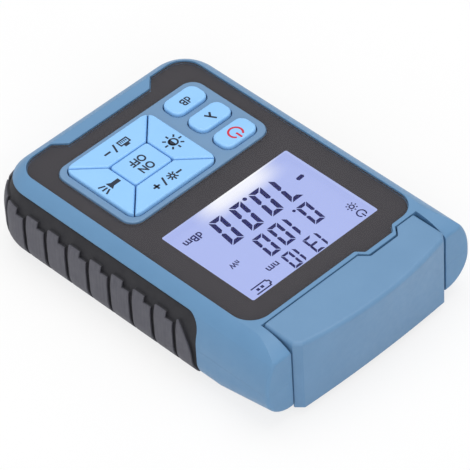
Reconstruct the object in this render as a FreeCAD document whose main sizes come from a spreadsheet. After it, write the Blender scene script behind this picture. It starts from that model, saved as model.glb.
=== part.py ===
"""Pocket optical power meter with flip cover, keypad, display and rubber side grips.

Frame: X across the width, Y along the length towards the ports, Z out of the
display. The meter lies on its back; the origin is under its middle.
All lengths are millimetres and stand in the sheet, which every sub-part reads.
"""
import FreeCAD, Part
import math
import os
import Sketcher

SIZES = {
    # casing
    "total_length": 97.1, "body_width": 65.4, "low_radius": 7.5, "high_radius": 15.0,
    "side_top": 10.5, "shoulder_drop": 3.0, "face_inset": 5.5, "corner_radius": 11.5,
    "ring_depth": 9.0, "front_depth": 11.0, "side_wall": 6.1, "tail_wall": 5.8,
    "back_wall": 2.0, "face_wall": 1.5, "cavity_radius": 5.0, "front_wall": 2.0,
    # cheeks and the bay for the cover
    "cheek_setback": 4.15, "bay_depth": 13.4, "cheek_drop": 2.5, "cheek_rise": 3.3,
    "cheek_rise_length": 17.0, "cheek_edge": 0.9, "nose_length": 5.4, "nose_drop": 2.0,
    "nose_wall": 1.1, "face_tab_left": -18.0, "face_tab_right": -6.0, "face_tab": 2.0,
    "tab_radius": 0.9,
    # lens panel
    "panel_rim": 0.35, "panel_tail": 5.8, "panel_front": 1.2, "panel_thick": 1.2,
    "panel_sink": 0.3, "panel_radius": 5.5, "panel_gap": 0.15, "panel_notch": 16.1,
    "panel_notch_depth": 3.0, "panel_tab": 1.9, "panel_tab_slope": 1.6, "panel_tab_inset": 0.1,
    # display
    "window_half": 20.0, "window_gap": 6.7, "window_front": 6.1, "window_margin": 0.8,
    "glass_side": 1.8, "glass_tail": 3.9, "glass_front": 2.1, "glass_thick": 1.8,
    "backlight_thick": 2.5,
    # keypad
    "keypad_tail": 7.6, "keypad_side": 2.0, "keypad_end": 1.5, "keypad_radius": 3.6,
    "keypad_gap": 0.2, "keypad_lift": 0.4, "keypad_ledge": 0.9, "keypad_edge": 0.3,
    "key_side": 2.1, "key_width": 10.5, "key_length": 6.2, "key_radius": 2.3,
    "key_inset": 0.45, "key_gap": 0.3, "key_proud": 1.0, "key_flange": 0.4,
    "flange_thick": 0.9, "key_edge": 0.5, "key_travel": 0.4, "key_clear": 0.1,
    "key_stem": 1.0, "pad_x": 7.0, "pad_half_x": 13.5, "pad_half_y": 11.85,
    "centre_half_x": 5.9, "centre_half_y": 4.35, "centre_corner": 0.9, "pad_gap": 0.3,
    "pad_corner": 2.6, "mat_thick": 0.8, "dome_radius": 1.9,
    # circuit board
    "board_gap": 0.25, "board_tail": 8.3, "board_front": 5.2, "board_thick": 1.6,
    # cells and their bay
    "cell_radius": 5.25, "cell_length": 44.5, "cell_pitch": 10.9, "nub_radius": 1.9,
    "nub_length": 1.0, "well_tail": 10.5, "well_gap": 0.3, "contact_room": 2.5,
    "contact_thick": 0.4, "contact_half": 3.6, "well_wall": 1.2, "well_roof": 0.6,
    # battery door
    "door_thick": 1.8, "door_gap": 0.2, "door_lap": 1.0, "door_radius": 2.0,
    "door_tab": 1.5, "door_tab_half": 3.0, "door_tab_x": 9.0, "door_rib": 0.5,
    # screws
    "screw_tail": 17.6, "screw_front": 6.0, "boss_gap": 0.3, "boss_radius": 2.2,
    "screw_radius": 1.0, "screw_hole": 1.2, "head_radius": 1.9, "head_thick": 1.4,
    "head_pocket": 2.2, "head_boss": 3.1, "head_floor": 7.0, "screw_end_gap": 1.5,
    # flip cover
    "cover_gap": 0.25, "cover_side_gap": 0.65, "cover_clear": 0.55, "cover_drop": 0.2,
    "cover_wall": 1.5, "cover_bevel": 1.55, "cover_corner_back": 2.7, "cover_side_back": 4.4,
    "cover_bulge_low": 0.7, "cover_edge": 1.0, "notch_gap": 0.45, "cover_skirt": 3.3,
    "hinge_back": 7.0, "hinge_drop": 1.9, "pin_radius": 1.0, "pin_gap": 0.05,
    "lug_radius": 2.6, "pin_bite": 4.0,
    # ports
    "panel_plate": 1.6, "port_proud": 3.2, "port_gap": 0.1,
    "jack_side": 0.1, "jack_fit": 0.05, "jack_space": 1.3, "jack_width": 15.2,
    "jack_height": 10.8, "jack_depth": 13.0, "plug_width": 11.9, "plug_height": 6.9,
    "plug_depth": 11.0, "latch_width": 6.2, "latch_height": 1.6, "latch_narrow": 3.2,
    "contact_pitch": 1.02, "contact_width": 0.45, "contact_drop": 2.4,
    "power_port_radius": 5.2, "port_side": 0.3, "laser_port_radius": 4.0,
    "laser_space": 1.1, "ferrule_radius": 1.27, "port_flange": 0.8,
    "port_flange_thick": 1.2, "port_brim": 0.8, "port_tail": 3.0, "port_mouth": 0.6,
    "detector_radius": 2.7, "detector_length": 3.0, "laser_radius": 3.2,
    "laser_length": 5.0, "torch_radius": 2.5, "torch_space": 0.8, "torch_length": 8.0,
    "torch_flange": 0.4,
    # grips
    "grip_thick": 1.7, "grip_proud": 0.35, "grip_band": 0.45, "grip_drop": 0.1,
    "grip_low": 2.0, "grip_back": 27.2, "grip_corner": 4.0, "grip_tail_half": 14.0,
    "grip_gap": 0.4, "band_height": 3.0, "pad_front": 1.0, "pad_curve": 10.0,
    "pad_reach": 4.5, "groove_width": 1.3, "groove_back": 6.4, "groove_tail": 13.8,
    "groove_count": 8.0, "step_width": 2.3, "step_height": 1.6,
    # small lamp behind the panel
    "lamp_tail": 4.1, "lamp_radius": 1.0, "lamp_gap": 0.1,
}

DOC = FreeCAD.newDocument("power_meter")
SHEET = DOC.addObject("Spreadsheet::Sheet", "Sizes")
UP = FreeCAD.Vector(0, 0, 1)


class Size:
    """A length with its value and the expression over the sheet that gives it."""

    def __init__(self, value, text):
        self.value = float(value)
        self.text = text

    def __add__(self, other):
        other = size(other)
        return Size(self.value + other.value, f"({self.text} + {other.text})")

    def __sub__(self, other):
        other = size(other)
        return Size(self.value - other.value, f"({self.text} - {other.text})")

    def __mul__(self, other):
        other = size(other)
        return Size(self.value * other.value, f"({self.text} * {other.text})")

    def __truediv__(self, other):
        other = size(other)
        return Size(self.value / other.value, f"({self.text} / {other.text})")

    def __neg__(self):
        return Size(-self.value, f"(0 - {self.text})")

    def __radd__(self, other):
        return size(other) + self

    def __rsub__(self, other):
        return size(other) - self

    def __rmul__(self, other):
        return size(other) * self


def size(number):
    """A plain number as a Size."""
    if isinstance(number, Size):
        return number
    return Size(number, f"({float(number)!r})")


def fill_sheet():
    for row, (name, value) in enumerate(SIZES.items(), start=1):
        SHEET.set(f"A{row}", name)
        SHEET.set(f"B{row}", str(value))
        SHEET.setAlias(f"B{row}", name)
    DOC.recompute()


fill_sheet()


class Sheet:
    """Gives each alias of the sheet as a Size."""

    def __getattr__(self, name):
        return Size(SIZES[name], f"Sizes.{name}")


S = Sheet()


def bind(item, name, length):
    """Sets a property from a Size and ties it to the sheet."""
    length = size(length)
    parts = name.split(".")
    if len(parts) == 1:
        setattr(item, name, length.value)
    item.setExpression(name, length.text)


# ---------------------------------------------------------------- building blocks

PLANES = {"XY": ("XY_Plane", 1), "XZ": ("XZ_Plane", -1), "YZ": ("YZ_Plane", 1)}


def new_body(label):
    body = DOC.addObject("PartDesign::Body", label)
    body.Label = label
    return body


def new_sketch(body, plane, offset=0.0):
    """A sketch on an origin plane of the body, moved along that plane's axis."""
    role, sign = PLANES[plane]
    sketch = body.newObject("Sketcher::SketchObject", "Outline")
    origin = [f for f in body.Origin.OriginFeatures if f.Role == role][0]
    sketch.AttachmentSupport = [(origin, "")]
    sketch.MapMode = "FlatFace"
    offset = size(offset) * sign
    sketch.AttachmentOffset = FreeCAD.Placement(
        FreeCAD.Vector(0, 0, offset.value), FreeCAD.Rotation())
    sketch.setExpression("AttachmentOffset.Base.z", offset.text)
    return sketch


def arc_geometry(start, end, radius, turn):
    """The short arc from start to end; turn 1 bends left, -1 bends right."""
    chord = end - start
    half = chord.Length / 2
    rise = math.sqrt(max(radius ** 2 - half ** 2, 0.0))
    left = FreeCAD.Vector(-chord.y, chord.x, 0) / chord.Length
    centre = start + chord / 2 + left * rise * turn
    first, last = (start, end) if turn > 0 else (end, start)
    low = math.atan2(first.y - centre.y, first.x - centre.x)
    high = math.atan2(last.y - centre.y, last.x - centre.x)
    return Part.ArcOfCircle(Part.Circle(centre, UP, radius), low, high)


def trace(sketch, points, arcs=None, closed=True):
    """Lines through the points, or arcs {segment: (radius, turn)}, all tied to the sheet."""
    arcs = arcs or {}
    points = [(size(x), size(y)) for x, y in points]
    places = [FreeCAD.Vector(x.value, y.value, 0) for x, y in points]
    count = len(points) if closed else len(points) - 1
    ends = []
    for i in range(count):
        a, b = places[i], places[(i + 1) % len(points)]
        if i in arcs:
            radius, turn = arcs[i]
            radius = size(radius)
            index = sketch.addGeometry(arc_geometry(a, b, radius.value, turn), False)
            key = sketch.addConstraint(Sketcher.Constraint("Radius", index, radius.value))
            sketch.setExpression(f"Constraints[{key}]", radius.text)
            ends.append((index, 1, 2) if turn > 0 else (index, 2, 1))
        else:
            index = sketch.addGeometry(Part.LineSegment(a, b), False)
            ends.append((index, 1, 2))
    for i in range(count if closed else count - 1):
        this, after = ends[i], ends[(i + 1) % count]
        sketch.addConstraint(
            Sketcher.Constraint("Coincident", this[0], this[2], after[0], after[1]))
    for i, (x, y) in enumerate(points):
        index, corner = ends[i][:2] if i < count else (ends[-1][0], ends[-1][2])
        for kind, length in (("DistanceX", x), ("DistanceY", y)):
            key = sketch.addConstraint(
                Sketcher.Constraint(kind, -1, 1, index, corner, length.value))
            sketch.setExpression(f"Constraints[{key}]", length.text)
    return sketch


def ring(sketch, x, y, radius):
    """A circle tied to the sheet."""
    x, y, radius = size(x), size(y), size(radius)
    centre = FreeCAD.Vector(x.value, y.value, 0)
    index = sketch.addGeometry(Part.Circle(centre, UP, radius.value), False)
    for constraint, length in (
            (Sketcher.Constraint("DistanceX", -1, 1, index, 3, x.value), x),
            (Sketcher.Constraint("DistanceY", -1, 1, index, 3, y.value), y),
            (Sketcher.Constraint("Radius", index, radius.value), radius)):
        key = sketch.addConstraint(constraint)
        sketch.setExpression(f"Constraints[{key}]", length.text)
    return sketch


def eased(points, radii):
    """Outline with an arc in place of each corner that radii names, and those arcs."""
    outline, arcs = [], {}
    for i, corner in enumerate(points):
        if i not in radii:
            outline.append(corner)
            continue
        corner = FreeCAD.Vector(size(corner[0]).value, size(corner[1]).value, 0)
        ways = []
        for other in (points[i - 1], points[(i + 1) % len(points)]):
            way = FreeCAD.Vector(size(other[0]).value, size(other[1]).value, 0) - corner
            ways.append(way.normalize())
        back, ahead = ways
        setback = 1 / math.tan(back.getAngle(ahead) / 2)
        arcs[len(outline)] = (radii[i], 1 if ahead.cross(back).z > 0 else -1)
        outline += [(size(points[i][0]) + size(radii[i]) * (setback * way.x),
                     size(points[i][1]) + size(radii[i]) * (setback * way.y)) for way in ways]
    return outline, arcs


def corners(left, right, low, high):
    return [(left, low), (right, low), (right, high), (left, high)]


def extrude(body, plane, low, high, draw, cut=False):
    """Pads or pockets from low to high along the plane's axis; draw fills the sketch."""
    low, high = size(low), size(high)
    forward = (PLANES[plane][1] > 0) != cut
    sketch = new_sketch(body, plane, low if forward else high)
    draw(sketch)
    kind = "PartDesign::Pocket" if cut else "PartDesign::Pad"
    feature = body.newObject(kind, "Pocket" if cut else "Pad")
    feature.Profile = sketch
    bind(feature, "Length", high - low)
    before = body.Shape.Volume if cut else 0.0
    DOC.recompute()
    if cut and not body.Shape.Volume < before:
        raise ValueError(f"a pocket of {body.Label} removes nothing")
    return feature


def block(body, left, right, low, high, bottom, top, cut=False):
    """A straight-sided block, added or cut."""
    return extrude(body, "XY", bottom, top,
                   lambda sketch: trace(sketch, corners(left, right, low, high)), cut)


def disc(body, x, y, radius, bottom, top, cut=False):
    """An upright cylinder, added or cut."""
    return extrude(body, "XY", bottom, top, lambda sketch: ring(sketch, x, y, radius), cut)


def rounded(body, left, right, low, high, radius, bottom, top, cut=False):
    """A block with round upright corners."""
    left, right, low, high, radius = map(size, (left, right, low, high, radius))
    points = [
        (left + radius, low), (right - radius, low), (right, low + radius),
        (right, high - radius), (right - radius, high), (left + radius, high),
        (left, high - radius), (left, low + radius)]
    arcs = {i: (radius, 1) for i in (1, 3, 5, 7)}
    return extrude(body, "XY", bottom, top,
                   lambda sketch: trace(sketch, points, arcs), cut)


def soften(body, radius, choose, kind="Fillet"):
    """Rounds or bevels the edges of the body that choose accepts."""
    base = body.Tip
    names = [f"Edge{i}" for i, edge in enumerate(base.Shape.Edges, start=1) if choose(edge)]
    if not names:
        raise ValueError(f"no edge of {body.Label} to soften")
    feature = body.newObject(f"PartDesign::{kind}", kind)
    feature.Base = (base, names)
    bind(feature, "Radius" if kind == "Fillet" else "Size", radius)
    DOC.recompute()
    return feature


def upright(edge):
    """True on a straight edge along Z."""
    box = edge.BoundBox
    return box.XLength < 1e-4 and box.YLength < 1e-4 and box.ZLength > 1e-3


def at_height(z):
    """Accepts edges that lie flat at one height."""
    z = size(z).value
    return lambda edge: abs(edge.BoundBox.ZMin - z) < 1e-4 and edge.BoundBox.ZLength < 1e-4


def boolean(kind, label, base, tool):
    item = DOC.addObject(f"Part::{kind}", label)
    item.Label = label
    item.Base = base
    item.Tool = tool
    DOC.recompute()
    return item


def cut_from(label, base, tool):
    return boolean("Cut", label, base, tool)


def common(label, base, tool):
    return boolean("Common", label, base, tool)


def fuse(label, items):
    item = DOC.addObject("Part::MultiFuse", label)
    item.Label = label
    item.Shapes = items
    DOC.recompute()
    return item


def group(label, items):
    """Separate solids under one label."""
    item = DOC.addObject("Part::Compound", label)
    item.Label = label
    item.Links = items
    DOC.recompute()
    return item


def cylinder(label, x, y, z, radius, length, axis="Z"):
    """A Part cylinder from a point along an axis."""
    item = DOC.addObject("Part::Cylinder", label)
    item.Label = label
    bind(item, "Radius", radius)
    bind(item, "Height", length)
    turns = {"Z": FreeCAD.Rotation(), "X": FreeCAD.Rotation(FreeCAD.Vector(0, 1, 0), 90),
             "Y": FreeCAD.Rotation(FreeCAD.Vector(1, 0, 0), -90)}
    place(item, x, y, z, turns[axis])
    return item


def box(label, left, right, low, high, bottom, top):
    """A Part box between limits on each axis."""
    item = DOC.addObject("Part::Box", label)
    item.Label = label
    bind(item, "Length", size(right) - left)
    bind(item, "Width", size(high) - low)
    bind(item, "Height", size(top) - bottom)
    place(item, left, low, bottom)
    return item


def place(item, x, y, z, rotation=None):
    x, y, z = size(x), size(y), size(z)
    item.Placement = FreeCAD.Placement(
        FreeCAD.Vector(x.value, y.value, z.value), rotation or FreeCAD.Rotation())
    for axis, length in zip("xyz", (x, y, z)):
        item.setExpression(f"Placement.Base.{axis}", length.text)
    return item


def turned(body, points, plane="XY"):
    """A revolved solid about the sketch's vertical axis; points are (radius, height)."""
    sketch = new_sketch(body, plane)
    trace(sketch, points)
    feature = body.newObject("PartDesign::Revolution", "Revolution")
    feature.Profile = sketch
    feature.ReferenceAxis = (sketch, ["V_Axis"])
    feature.Angle = 360
    DOC.recompute()
    return feature


# ---------------------------------------------------------------- shared places

# heights, from the back of the casing up through what it holds
CELL_Z = S.door_thick + S.well_gap + S.cell_radius
WELL_TOP = CELL_Z + S.cell_radius + S.well_gap / 2
BOARD_Z = WELL_TOP + S.well_roof + S.board_gap
BOARD_TOP = BOARD_Z + S.board_thick
GLASS_Z = BOARD_TOP + S.backlight_thick
CEILING = GLASS_Z + S.glass_thick
SEAT = CEILING + S.face_wall
PANEL_TOP = SEAT + S.panel_thick
FACE = PANEL_TOP + S.panel_sink
SHOULDER = FACE - S.shoulder_drop
HIGH_CENTRE = FACE - S.side_top
SPLIT = FACE - S.front_depth
MAT_Z = BOARD_TOP + S.mat_thick
KEY_TOP = FACE + S.key_proud
KEY_LOW = CEILING - S.key_stem
DOME_TOP = KEY_LOW - S.key_travel - S.key_clear
NOSE_HIGH = FACE - S.nose_drop
NOSE_LOW = NOSE_HIGH - S.nose_wall * 2 - S.jack_height - S.jack_fit * 2
PORT_Z = (NOSE_LOW + NOSE_HIGH) / 2
HINGE_Z = NOSE_LOW - S.hinge_drop
COVER_TOP = FACE - S.cover_drop
COVER_LOW = HINGE_Z - S.cover_skirt
GRIP_TOP = SHOULDER - S.grip_drop
PAD_TOP = GRIP_TOP - S.band_height

# the row of ports, then the nose, the cover and the bay round it
NOSE_INSIDE = (S.jack_side + S.jack_width + S.jack_space + S.torch_radius * 2 + S.torch_space
               + S.laser_port_radius * 2 + S.laser_space + S.power_port_radius * 2
               + S.port_side) / 2
JACK_X = S.jack_side + S.jack_width / 2 - NOSE_INSIDE
POWER_X = NOSE_INSIDE - S.port_side - S.power_port_radius
LASER_X = POWER_X - S.power_port_radius - S.laser_space - S.laser_port_radius
TORCH_X = LASER_X - S.laser_port_radius - S.torch_space - S.torch_radius
NOSE_HALF = NOSE_INSIDE + S.nose_wall
COVER_HALF = NOSE_HALF + S.cover_clear + S.cover_wall
BAY_HALF = COVER_HALF + S.cover_side_gap

# along the length
HALF = S.body_width / 2
TAIL = -(S.total_length / 2)
FRONT = S.total_length / 2
CHEEK_END = FRONT - S.cheek_setback
BAY = FRONT - S.bay_depth
NOSE_END = BAY + S.nose_length
PLATE_BACK = NOSE_END - S.panel_plate
PORT_FACE = NOSE_END + S.port_proud
HINGE_Y = FRONT - S.hinge_back
COVER_SIDE = FRONT - S.cover_side_back
COVER_CORNER = FRONT - S.cover_corner_back
PANEL_HALF = HALF - S.face_inset - S.panel_rim
PANEL_LOW = TAIL + S.panel_tail
PANEL_HIGH = BAY - S.panel_front
KEYPAD_LOW = PANEL_LOW + S.keypad_tail
PAD_Y = KEYPAD_LOW + S.keypad_end + S.pad_half_y
KEYPAD_HIGH = PAD_Y + S.pad_half_y + S.keypad_end
KEYPAD_HALF = S.pad_x + S.pad_half_x + S.keypad_side
KEY_LEFT = S.key_side - KEYPAD_HALF
KEY_PITCH = S.pad_half_y - S.key_inset - S.key_length / 2
WINDOW_LOW = KEYPAD_HIGH + S.window_gap
WINDOW_HIGH = PANEL_HIGH - S.window_front
GLASS_HALF = S.window_half + S.glass_side
SCREW_X = GLASS_HALF + S.boss_gap + S.boss_radius
LAMP_Y = PANEL_LOW + S.lamp_tail
WELL_LOW = TAIL + S.well_tail
WELL_HIGH = WELL_LOW + S.cell_length + S.contact_room * 2
WELL_HALF = S.cell_pitch + S.cell_radius + S.well_gap
GRIP_FRONT = FRONT - S.grip_back
GROOVE_FIRST = GRIP_FRONT - S.groove_back
GROOVE_LAST = TAIL + S.groove_tail
CORNER_GROOVES = (25, 62)
BOTH = (-1, 1)


# ---------------------------------------------------------------- casing form

def section(grow):
    """Half section of the casing's side, from the middle outwards, grown by a skin."""
    low_x = HALF - S.low_radius
    high_x = HALF - S.high_radius
    rise = SHOULDER - HIGH_CENTRE
    spread = math.sqrt(SIZES["high_radius"] ** 2 - rise.value ** 2) / SIZES["high_radius"]
    lift = rise / S.high_radius
    inner = HALF - S.ring_depth
    return [
        (inner, -grow),
        (low_x, -grow),
        (HALF + grow, S.low_radius),
        (HALF + grow, HIGH_CENTRE),
        (high_x + (S.high_radius + grow) * spread, HIGH_CENTRE + (S.high_radius + grow) * lift),
        (HALF - S.face_inset, FACE),
        (inner, FACE),
    ], {1: (S.low_radius + grow, 1), 3: (S.high_radius + grow, 1), 4: (S.high_radius * 0.6, 1)}


def casing_form(body, grow=0.0):
    """The whole outer form: one section swept round the plan, with the middle filled."""
    grow = size(grow)
    points, arcs = section(grow)
    profile = new_sketch(body, "XZ", CHEEK_END)
    trace(profile, points, arcs)
    path = new_sketch(body, "XY")
    inner = HALF - S.corner_radius
    trace(path, [(HALF, CHEEK_END), (HALF, TAIL + S.corner_radius), (inner, TAIL),
                 (-inner, TAIL), (-HALF, TAIL + S.corner_radius), (-HALF, CHEEK_END)],
          {1: (S.corner_radius, -1), 3: (S.corner_radius, -1)}, closed=False)
    pipe = body.newObject("PartDesign::AdditivePipe", "Sweep")
    pipe.Profile = profile
    pipe.Spine = (path, [])
    DOC.recompute()
    reach = S.ring_depth - 0.3
    block(body, -(HALF - reach), HALF - reach, TAIL + reach, CHEEK_END,
          -grow, FACE)


def panel_outline(grow):
    """Outline of the lens panel: tab towards the cover, notch at the tail."""
    grow = size(grow)
    half = PANEL_HALF + grow
    low, high = PANEL_LOW - grow, PANEL_HIGH + grow
    notch, depth = S.panel_notch - grow, S.panel_notch_depth
    left = S.face_tab_left + S.panel_tab_inset - grow
    right = S.face_tab_right - S.panel_tab_inset + grow
    return [
        (-half, low), (-notch, low), (-(notch - depth), low + depth), (notch - depth, low + depth),
        (notch, low), (half, low), (half, high), (right, high),
        (right - S.panel_tab_slope, high + S.panel_tab), (left + S.panel_tab_slope, high + S.panel_tab),
        (left, high), (-half, high)]


def panel_form(body, grow, bottom, top, cut=False):
    """The panel's plate with its round corners, added or cut."""
    grow = size(grow)
    large, small = S.panel_radius + grow, S.tab_radius
    outline, arcs = eased(panel_outline(grow), {
        0: large, 1: small, 2: small, 3: small, 4: small, 5: large, 6: large, 7: small,
        8: small, 9: small, 10: small, 11: large})
    return extrude(body, "XY", bottom, top, lambda s: trace(s, outline, arcs), cut)


def casing_blank(body):
    """The casing with cheeks, cover bay, nose and face tab, before it is hollowed."""
    casing_form(body)
    block(body, -BAY_HALF, BAY_HALF, BAY, FRONT, -1, FACE + 1, cut=True)
    block(body, -NOSE_HALF, NOSE_HALF, BAY - 0.5, PLATE_BACK, NOSE_LOW, NOSE_HIGH)
    tab = [(S.face_tab_left, BAY - 0.5), (S.face_tab_right, BAY - 0.5), (S.face_tab_right, BAY),
           (S.face_tab_right - S.face_tab * 0.8, BAY + S.face_tab),
           (S.face_tab_left + S.face_tab * 0.8, BAY + S.face_tab), (S.face_tab_left, BAY)]
    outline, arcs = eased(tab, {3: S.tab_radius, 4: S.tab_radius})
    extrude(body, "XY", NOSE_HIGH - 0.2, FACE, lambda sketch: trace(sketch, outline, arcs))
    drop, run = S.cheek_drop, CHEEK_END - BAY
    bend = (run * run + drop * drop) / (drop * 2)
    top = [(BAY, FACE), (BAY, FACE + 1), (CHEEK_END + 1, FACE + 1),
           (CHEEK_END + 1, FACE - drop), (CHEEK_END, FACE - drop)]
    extrude(body, "YZ", -(HALF + 1), -BAY_HALF + 0.5,
            lambda sketch: trace(sketch, top, {4: (bend, 1)}), cut=True)
    extrude(body, "YZ", BAY_HALF - 0.5, HALF + 1,
            lambda sketch: trace(sketch, top, {4: (bend, 1)}), cut=True)
    raise_front(body)


def raise_front(body):
    """Lifts the underside towards the front: its rounded section rises along the cheeks."""
    wide, radius = HALF + 3, S.low_radius
    sketches = []
    for y, lift in ((CHEEK_END + 0.2, S.cheek_rise), (CHEEK_END - S.cheek_rise_length, size(-0.1))):
        sketch = new_sketch(body, "XZ", y)
        middle = radius + lift
        trace(sketch, [(-wide, -3), (wide, -3), (wide, middle), (HALF, middle),
                       (HALF - radius, middle - radius), (radius - HALF, middle - radius),
                       (-HALF, middle), (-wide, middle)],
              {3: (radius, -1), 5: (radius, -1)})
        sketches.append(sketch)
    before = body.Shape.Volume
    loft = body.newObject("PartDesign::SubtractiveLoft", "Loft")
    loft.Profile = sketches[0]
    loft.Sections = sketches[1:]
    loft.Ruled = True
    DOC.recompute()
    if not 0 < body.Shape.Volume < before:
        raise ValueError(f"the loft of {body.Label} removes nothing")


def cheek_ends(edge, low, high):
    """True on the outer edges of the cheeks' end faces between two heights."""
    end, bounds = CHEEK_END.value, edge.BoundBox
    flat = bounds.YLength < 1e-4 and abs(bounds.YMin - end) < 1e-3
    inner = bounds.XLength < 1e-3 and abs(abs(bounds.XMin) - BAY_HALF.value) < 1e-3
    split = bounds.ZLength < 1e-3 and abs(bounds.ZMin - SPLIT.value) < 1e-3
    return flat and not inner and not split and low < edge.CenterOfMass.z < high


def cavity(body, bottom, top):
    """The room inside, with the nose's inside in front of it."""
    reach = HALF - S.side_wall
    rounded(body, -reach, reach, TAIL + S.tail_wall, BAY - S.front_wall,
            S.cavity_radius, bottom, top, cut=True)


def nose_room(body, bottom, top):
    block(body, -NOSE_INSIDE, NOSE_INSIDE, BAY - S.front_wall - 0.5, NOSE_END, bottom, top,
          cut=True)


def screw_places():
    return [(SCREW_X * side, y) for side in BOTH
            for y in (TAIL + S.screw_tail, BAY - S.screw_front)]


def front_housing(seat):
    """Upper half shell: face with panel recess, display window and key opening."""
    body = new_body("front_shell_blank")
    casing_blank(body)
    block(body, -(HALF + 1), HALF + 1, TAIL - 1, FRONT + 1, -1, SPLIT, cut=True)
    cavity(body, SPLIT, CEILING)
    nose_room(body, SPLIT, NOSE_HIGH - S.nose_wall)
    for x, y in screw_places():
        disc(body, x, y, S.boss_radius, SPLIT, CEILING + 0.2)
    for x, y in screw_places():
        disc(body, x, y, S.screw_radius, SPLIT, CEILING - 0.5, cut=True)
    panel_form(body, S.panel_gap, SEAT, FACE + 1, cut=True)
    edge = S.window_margin
    block(body, -(S.window_half + edge), S.window_half + edge, WINDOW_LOW - edge,
          WINDOW_HIGH + edge, CEILING, SEAT, cut=True)
    ledge = S.keypad_ledge
    rounded(body, -(KEYPAD_HALF - ledge), KEYPAD_HALF - ledge, KEYPAD_LOW + ledge,
            KEYPAD_HIGH - ledge, S.keypad_radius - ledge, CEILING, SEAT, cut=True)
    disc(body, 0, LAMP_Y, S.lamp_radius, CEILING, SEAT, cut=True)
    soften(body, S.cheek_edge, lambda edge: cheek_ends(edge, SPLIT.value, FACE.value))
    return cut_from("front_housing", body, seat)


def rear_housing(seat):
    """Lower half shell: cell well, door recess, screw bosses and hinge holes."""
    body = new_body("rear_shell_blank")
    casing_blank(body)
    block(body, -(HALF + 1), HALF + 1, TAIL - 1, FRONT + 1, SPLIT, FACE + 1, cut=True)
    cavity(body, S.back_wall, SPLIT)
    nose_room(body, NOSE_LOW + S.nose_wall, SPLIT)
    wall = S.well_wall
    block(body, -(WELL_HALF + wall), WELL_HALF + wall, WELL_LOW - wall, WELL_HIGH + wall,
          S.back_wall - 0.2, WELL_TOP + S.well_roof)
    for x, y in screw_places():
        disc(body, x, y, S.head_boss, S.back_wall - 0.2, SPLIT)
    block(body, -WELL_HALF, WELL_HALF, WELL_LOW, WELL_HIGH, -1, WELL_TOP, cut=True)
    lap = S.door_lap
    rounded(body, -(WELL_HALF + lap), WELL_HALF + lap, WELL_LOW - lap, WELL_HIGH + lap,
            S.door_radius, -1, S.door_thick + S.door_gap / 2, cut=True)
    for side in BOTH:
        middle = S.door_tab_x * side
        reach = S.door_tab_half + S.door_gap
        block(body, middle - reach, middle + reach, WELL_HIGH - 0.5,
              WELL_HIGH + lap + S.door_tab + S.door_gap, S.door_thick / 2, S.door_thick * 2, cut=True)
    for x, y in screw_places():
        disc(body, x, y, S.screw_hole, -1, SPLIT + 1, cut=True)
        disc(body, x, y, S.head_pocket, -1, S.head_floor, cut=True)
    extrude(body, "YZ", -(BAY_HALF + S.pin_bite), BAY_HALF + S.pin_bite,
            lambda sketch: ring(sketch, HINGE_Y, HINGE_Z, S.pin_radius), cut=True)
    soften(body, S.cheek_edge, lambda edge: cheek_ends(edge, 0, SPLIT.value))
    return cut_from("rear_housing", body, seat)


# ---------------------------------------------------------------- grips

def grip_region(label, side, grow=0.0):
    """The part of a side that the grip covers, seen from the side."""
    body = new_body(label)
    grow = size(grow)
    front, top = GRIP_FRONT + grow, GRIP_TOP + grow
    tail = TAIL - 5
    points = [(tail, S.grip_low - grow), (front, S.grip_low - grow), (front, top - S.grip_corner),
              (front - S.grip_corner, top), (tail, top)]
    near, far = S.grip_tail_half - grow, HALF + 5
    extrude(body, "YZ", near if side > 0 else -far, far if side > 0 else -near,
            lambda sketch: trace(sketch, points, {2: (S.grip_corner, 1)}))
    return body


def form(label, grow):
    body = new_body(label)
    casing_form(body, grow)
    return body


def pad_surround():
    """All that lies round the pads seen from the side: the band on top and at the front."""
    body = new_body("pad_outline")
    front, low, wide = GRIP_FRONT - S.pad_front, size(-5), HALF + 5
    bend = (S.pad_curve * S.pad_curve + S.pad_reach * S.pad_reach) / (S.pad_reach * 2)
    points = [(TAIL - 6, low), (front, low), (front, PAD_TOP - S.pad_curve),
              (front - S.pad_reach, PAD_TOP), (TAIL - 6, PAD_TOP)]
    extrude(body, "YZ", -wide, wide, lambda sketch: trace(sketch, points, {2: (bend, 1)}))
    whole = box("pad_surround_block", -wide, wide, TAIL - 5, FRONT, -4, FACE + 5)
    return cut_from("pad_surround", whole, body)


def corner_groove(label, side, angle):
    """A groove block pointing out of a tail corner, turned from the side towards the tail."""
    heading = math.radians(-angle if side > 0 else 180 + angle)
    half = S.groove_width / 2
    item = box(label, 0, S.corner_radius * 2, 0, S.groove_width, -4, FACE + 5)
    return place(item, (HALF - S.corner_radius) * side + half * math.sin(heading),
                 TAIL + S.corner_radius - half * math.cos(heading), -4,
                 FreeCAD.Rotation(UP, math.degrees(heading)))


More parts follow.
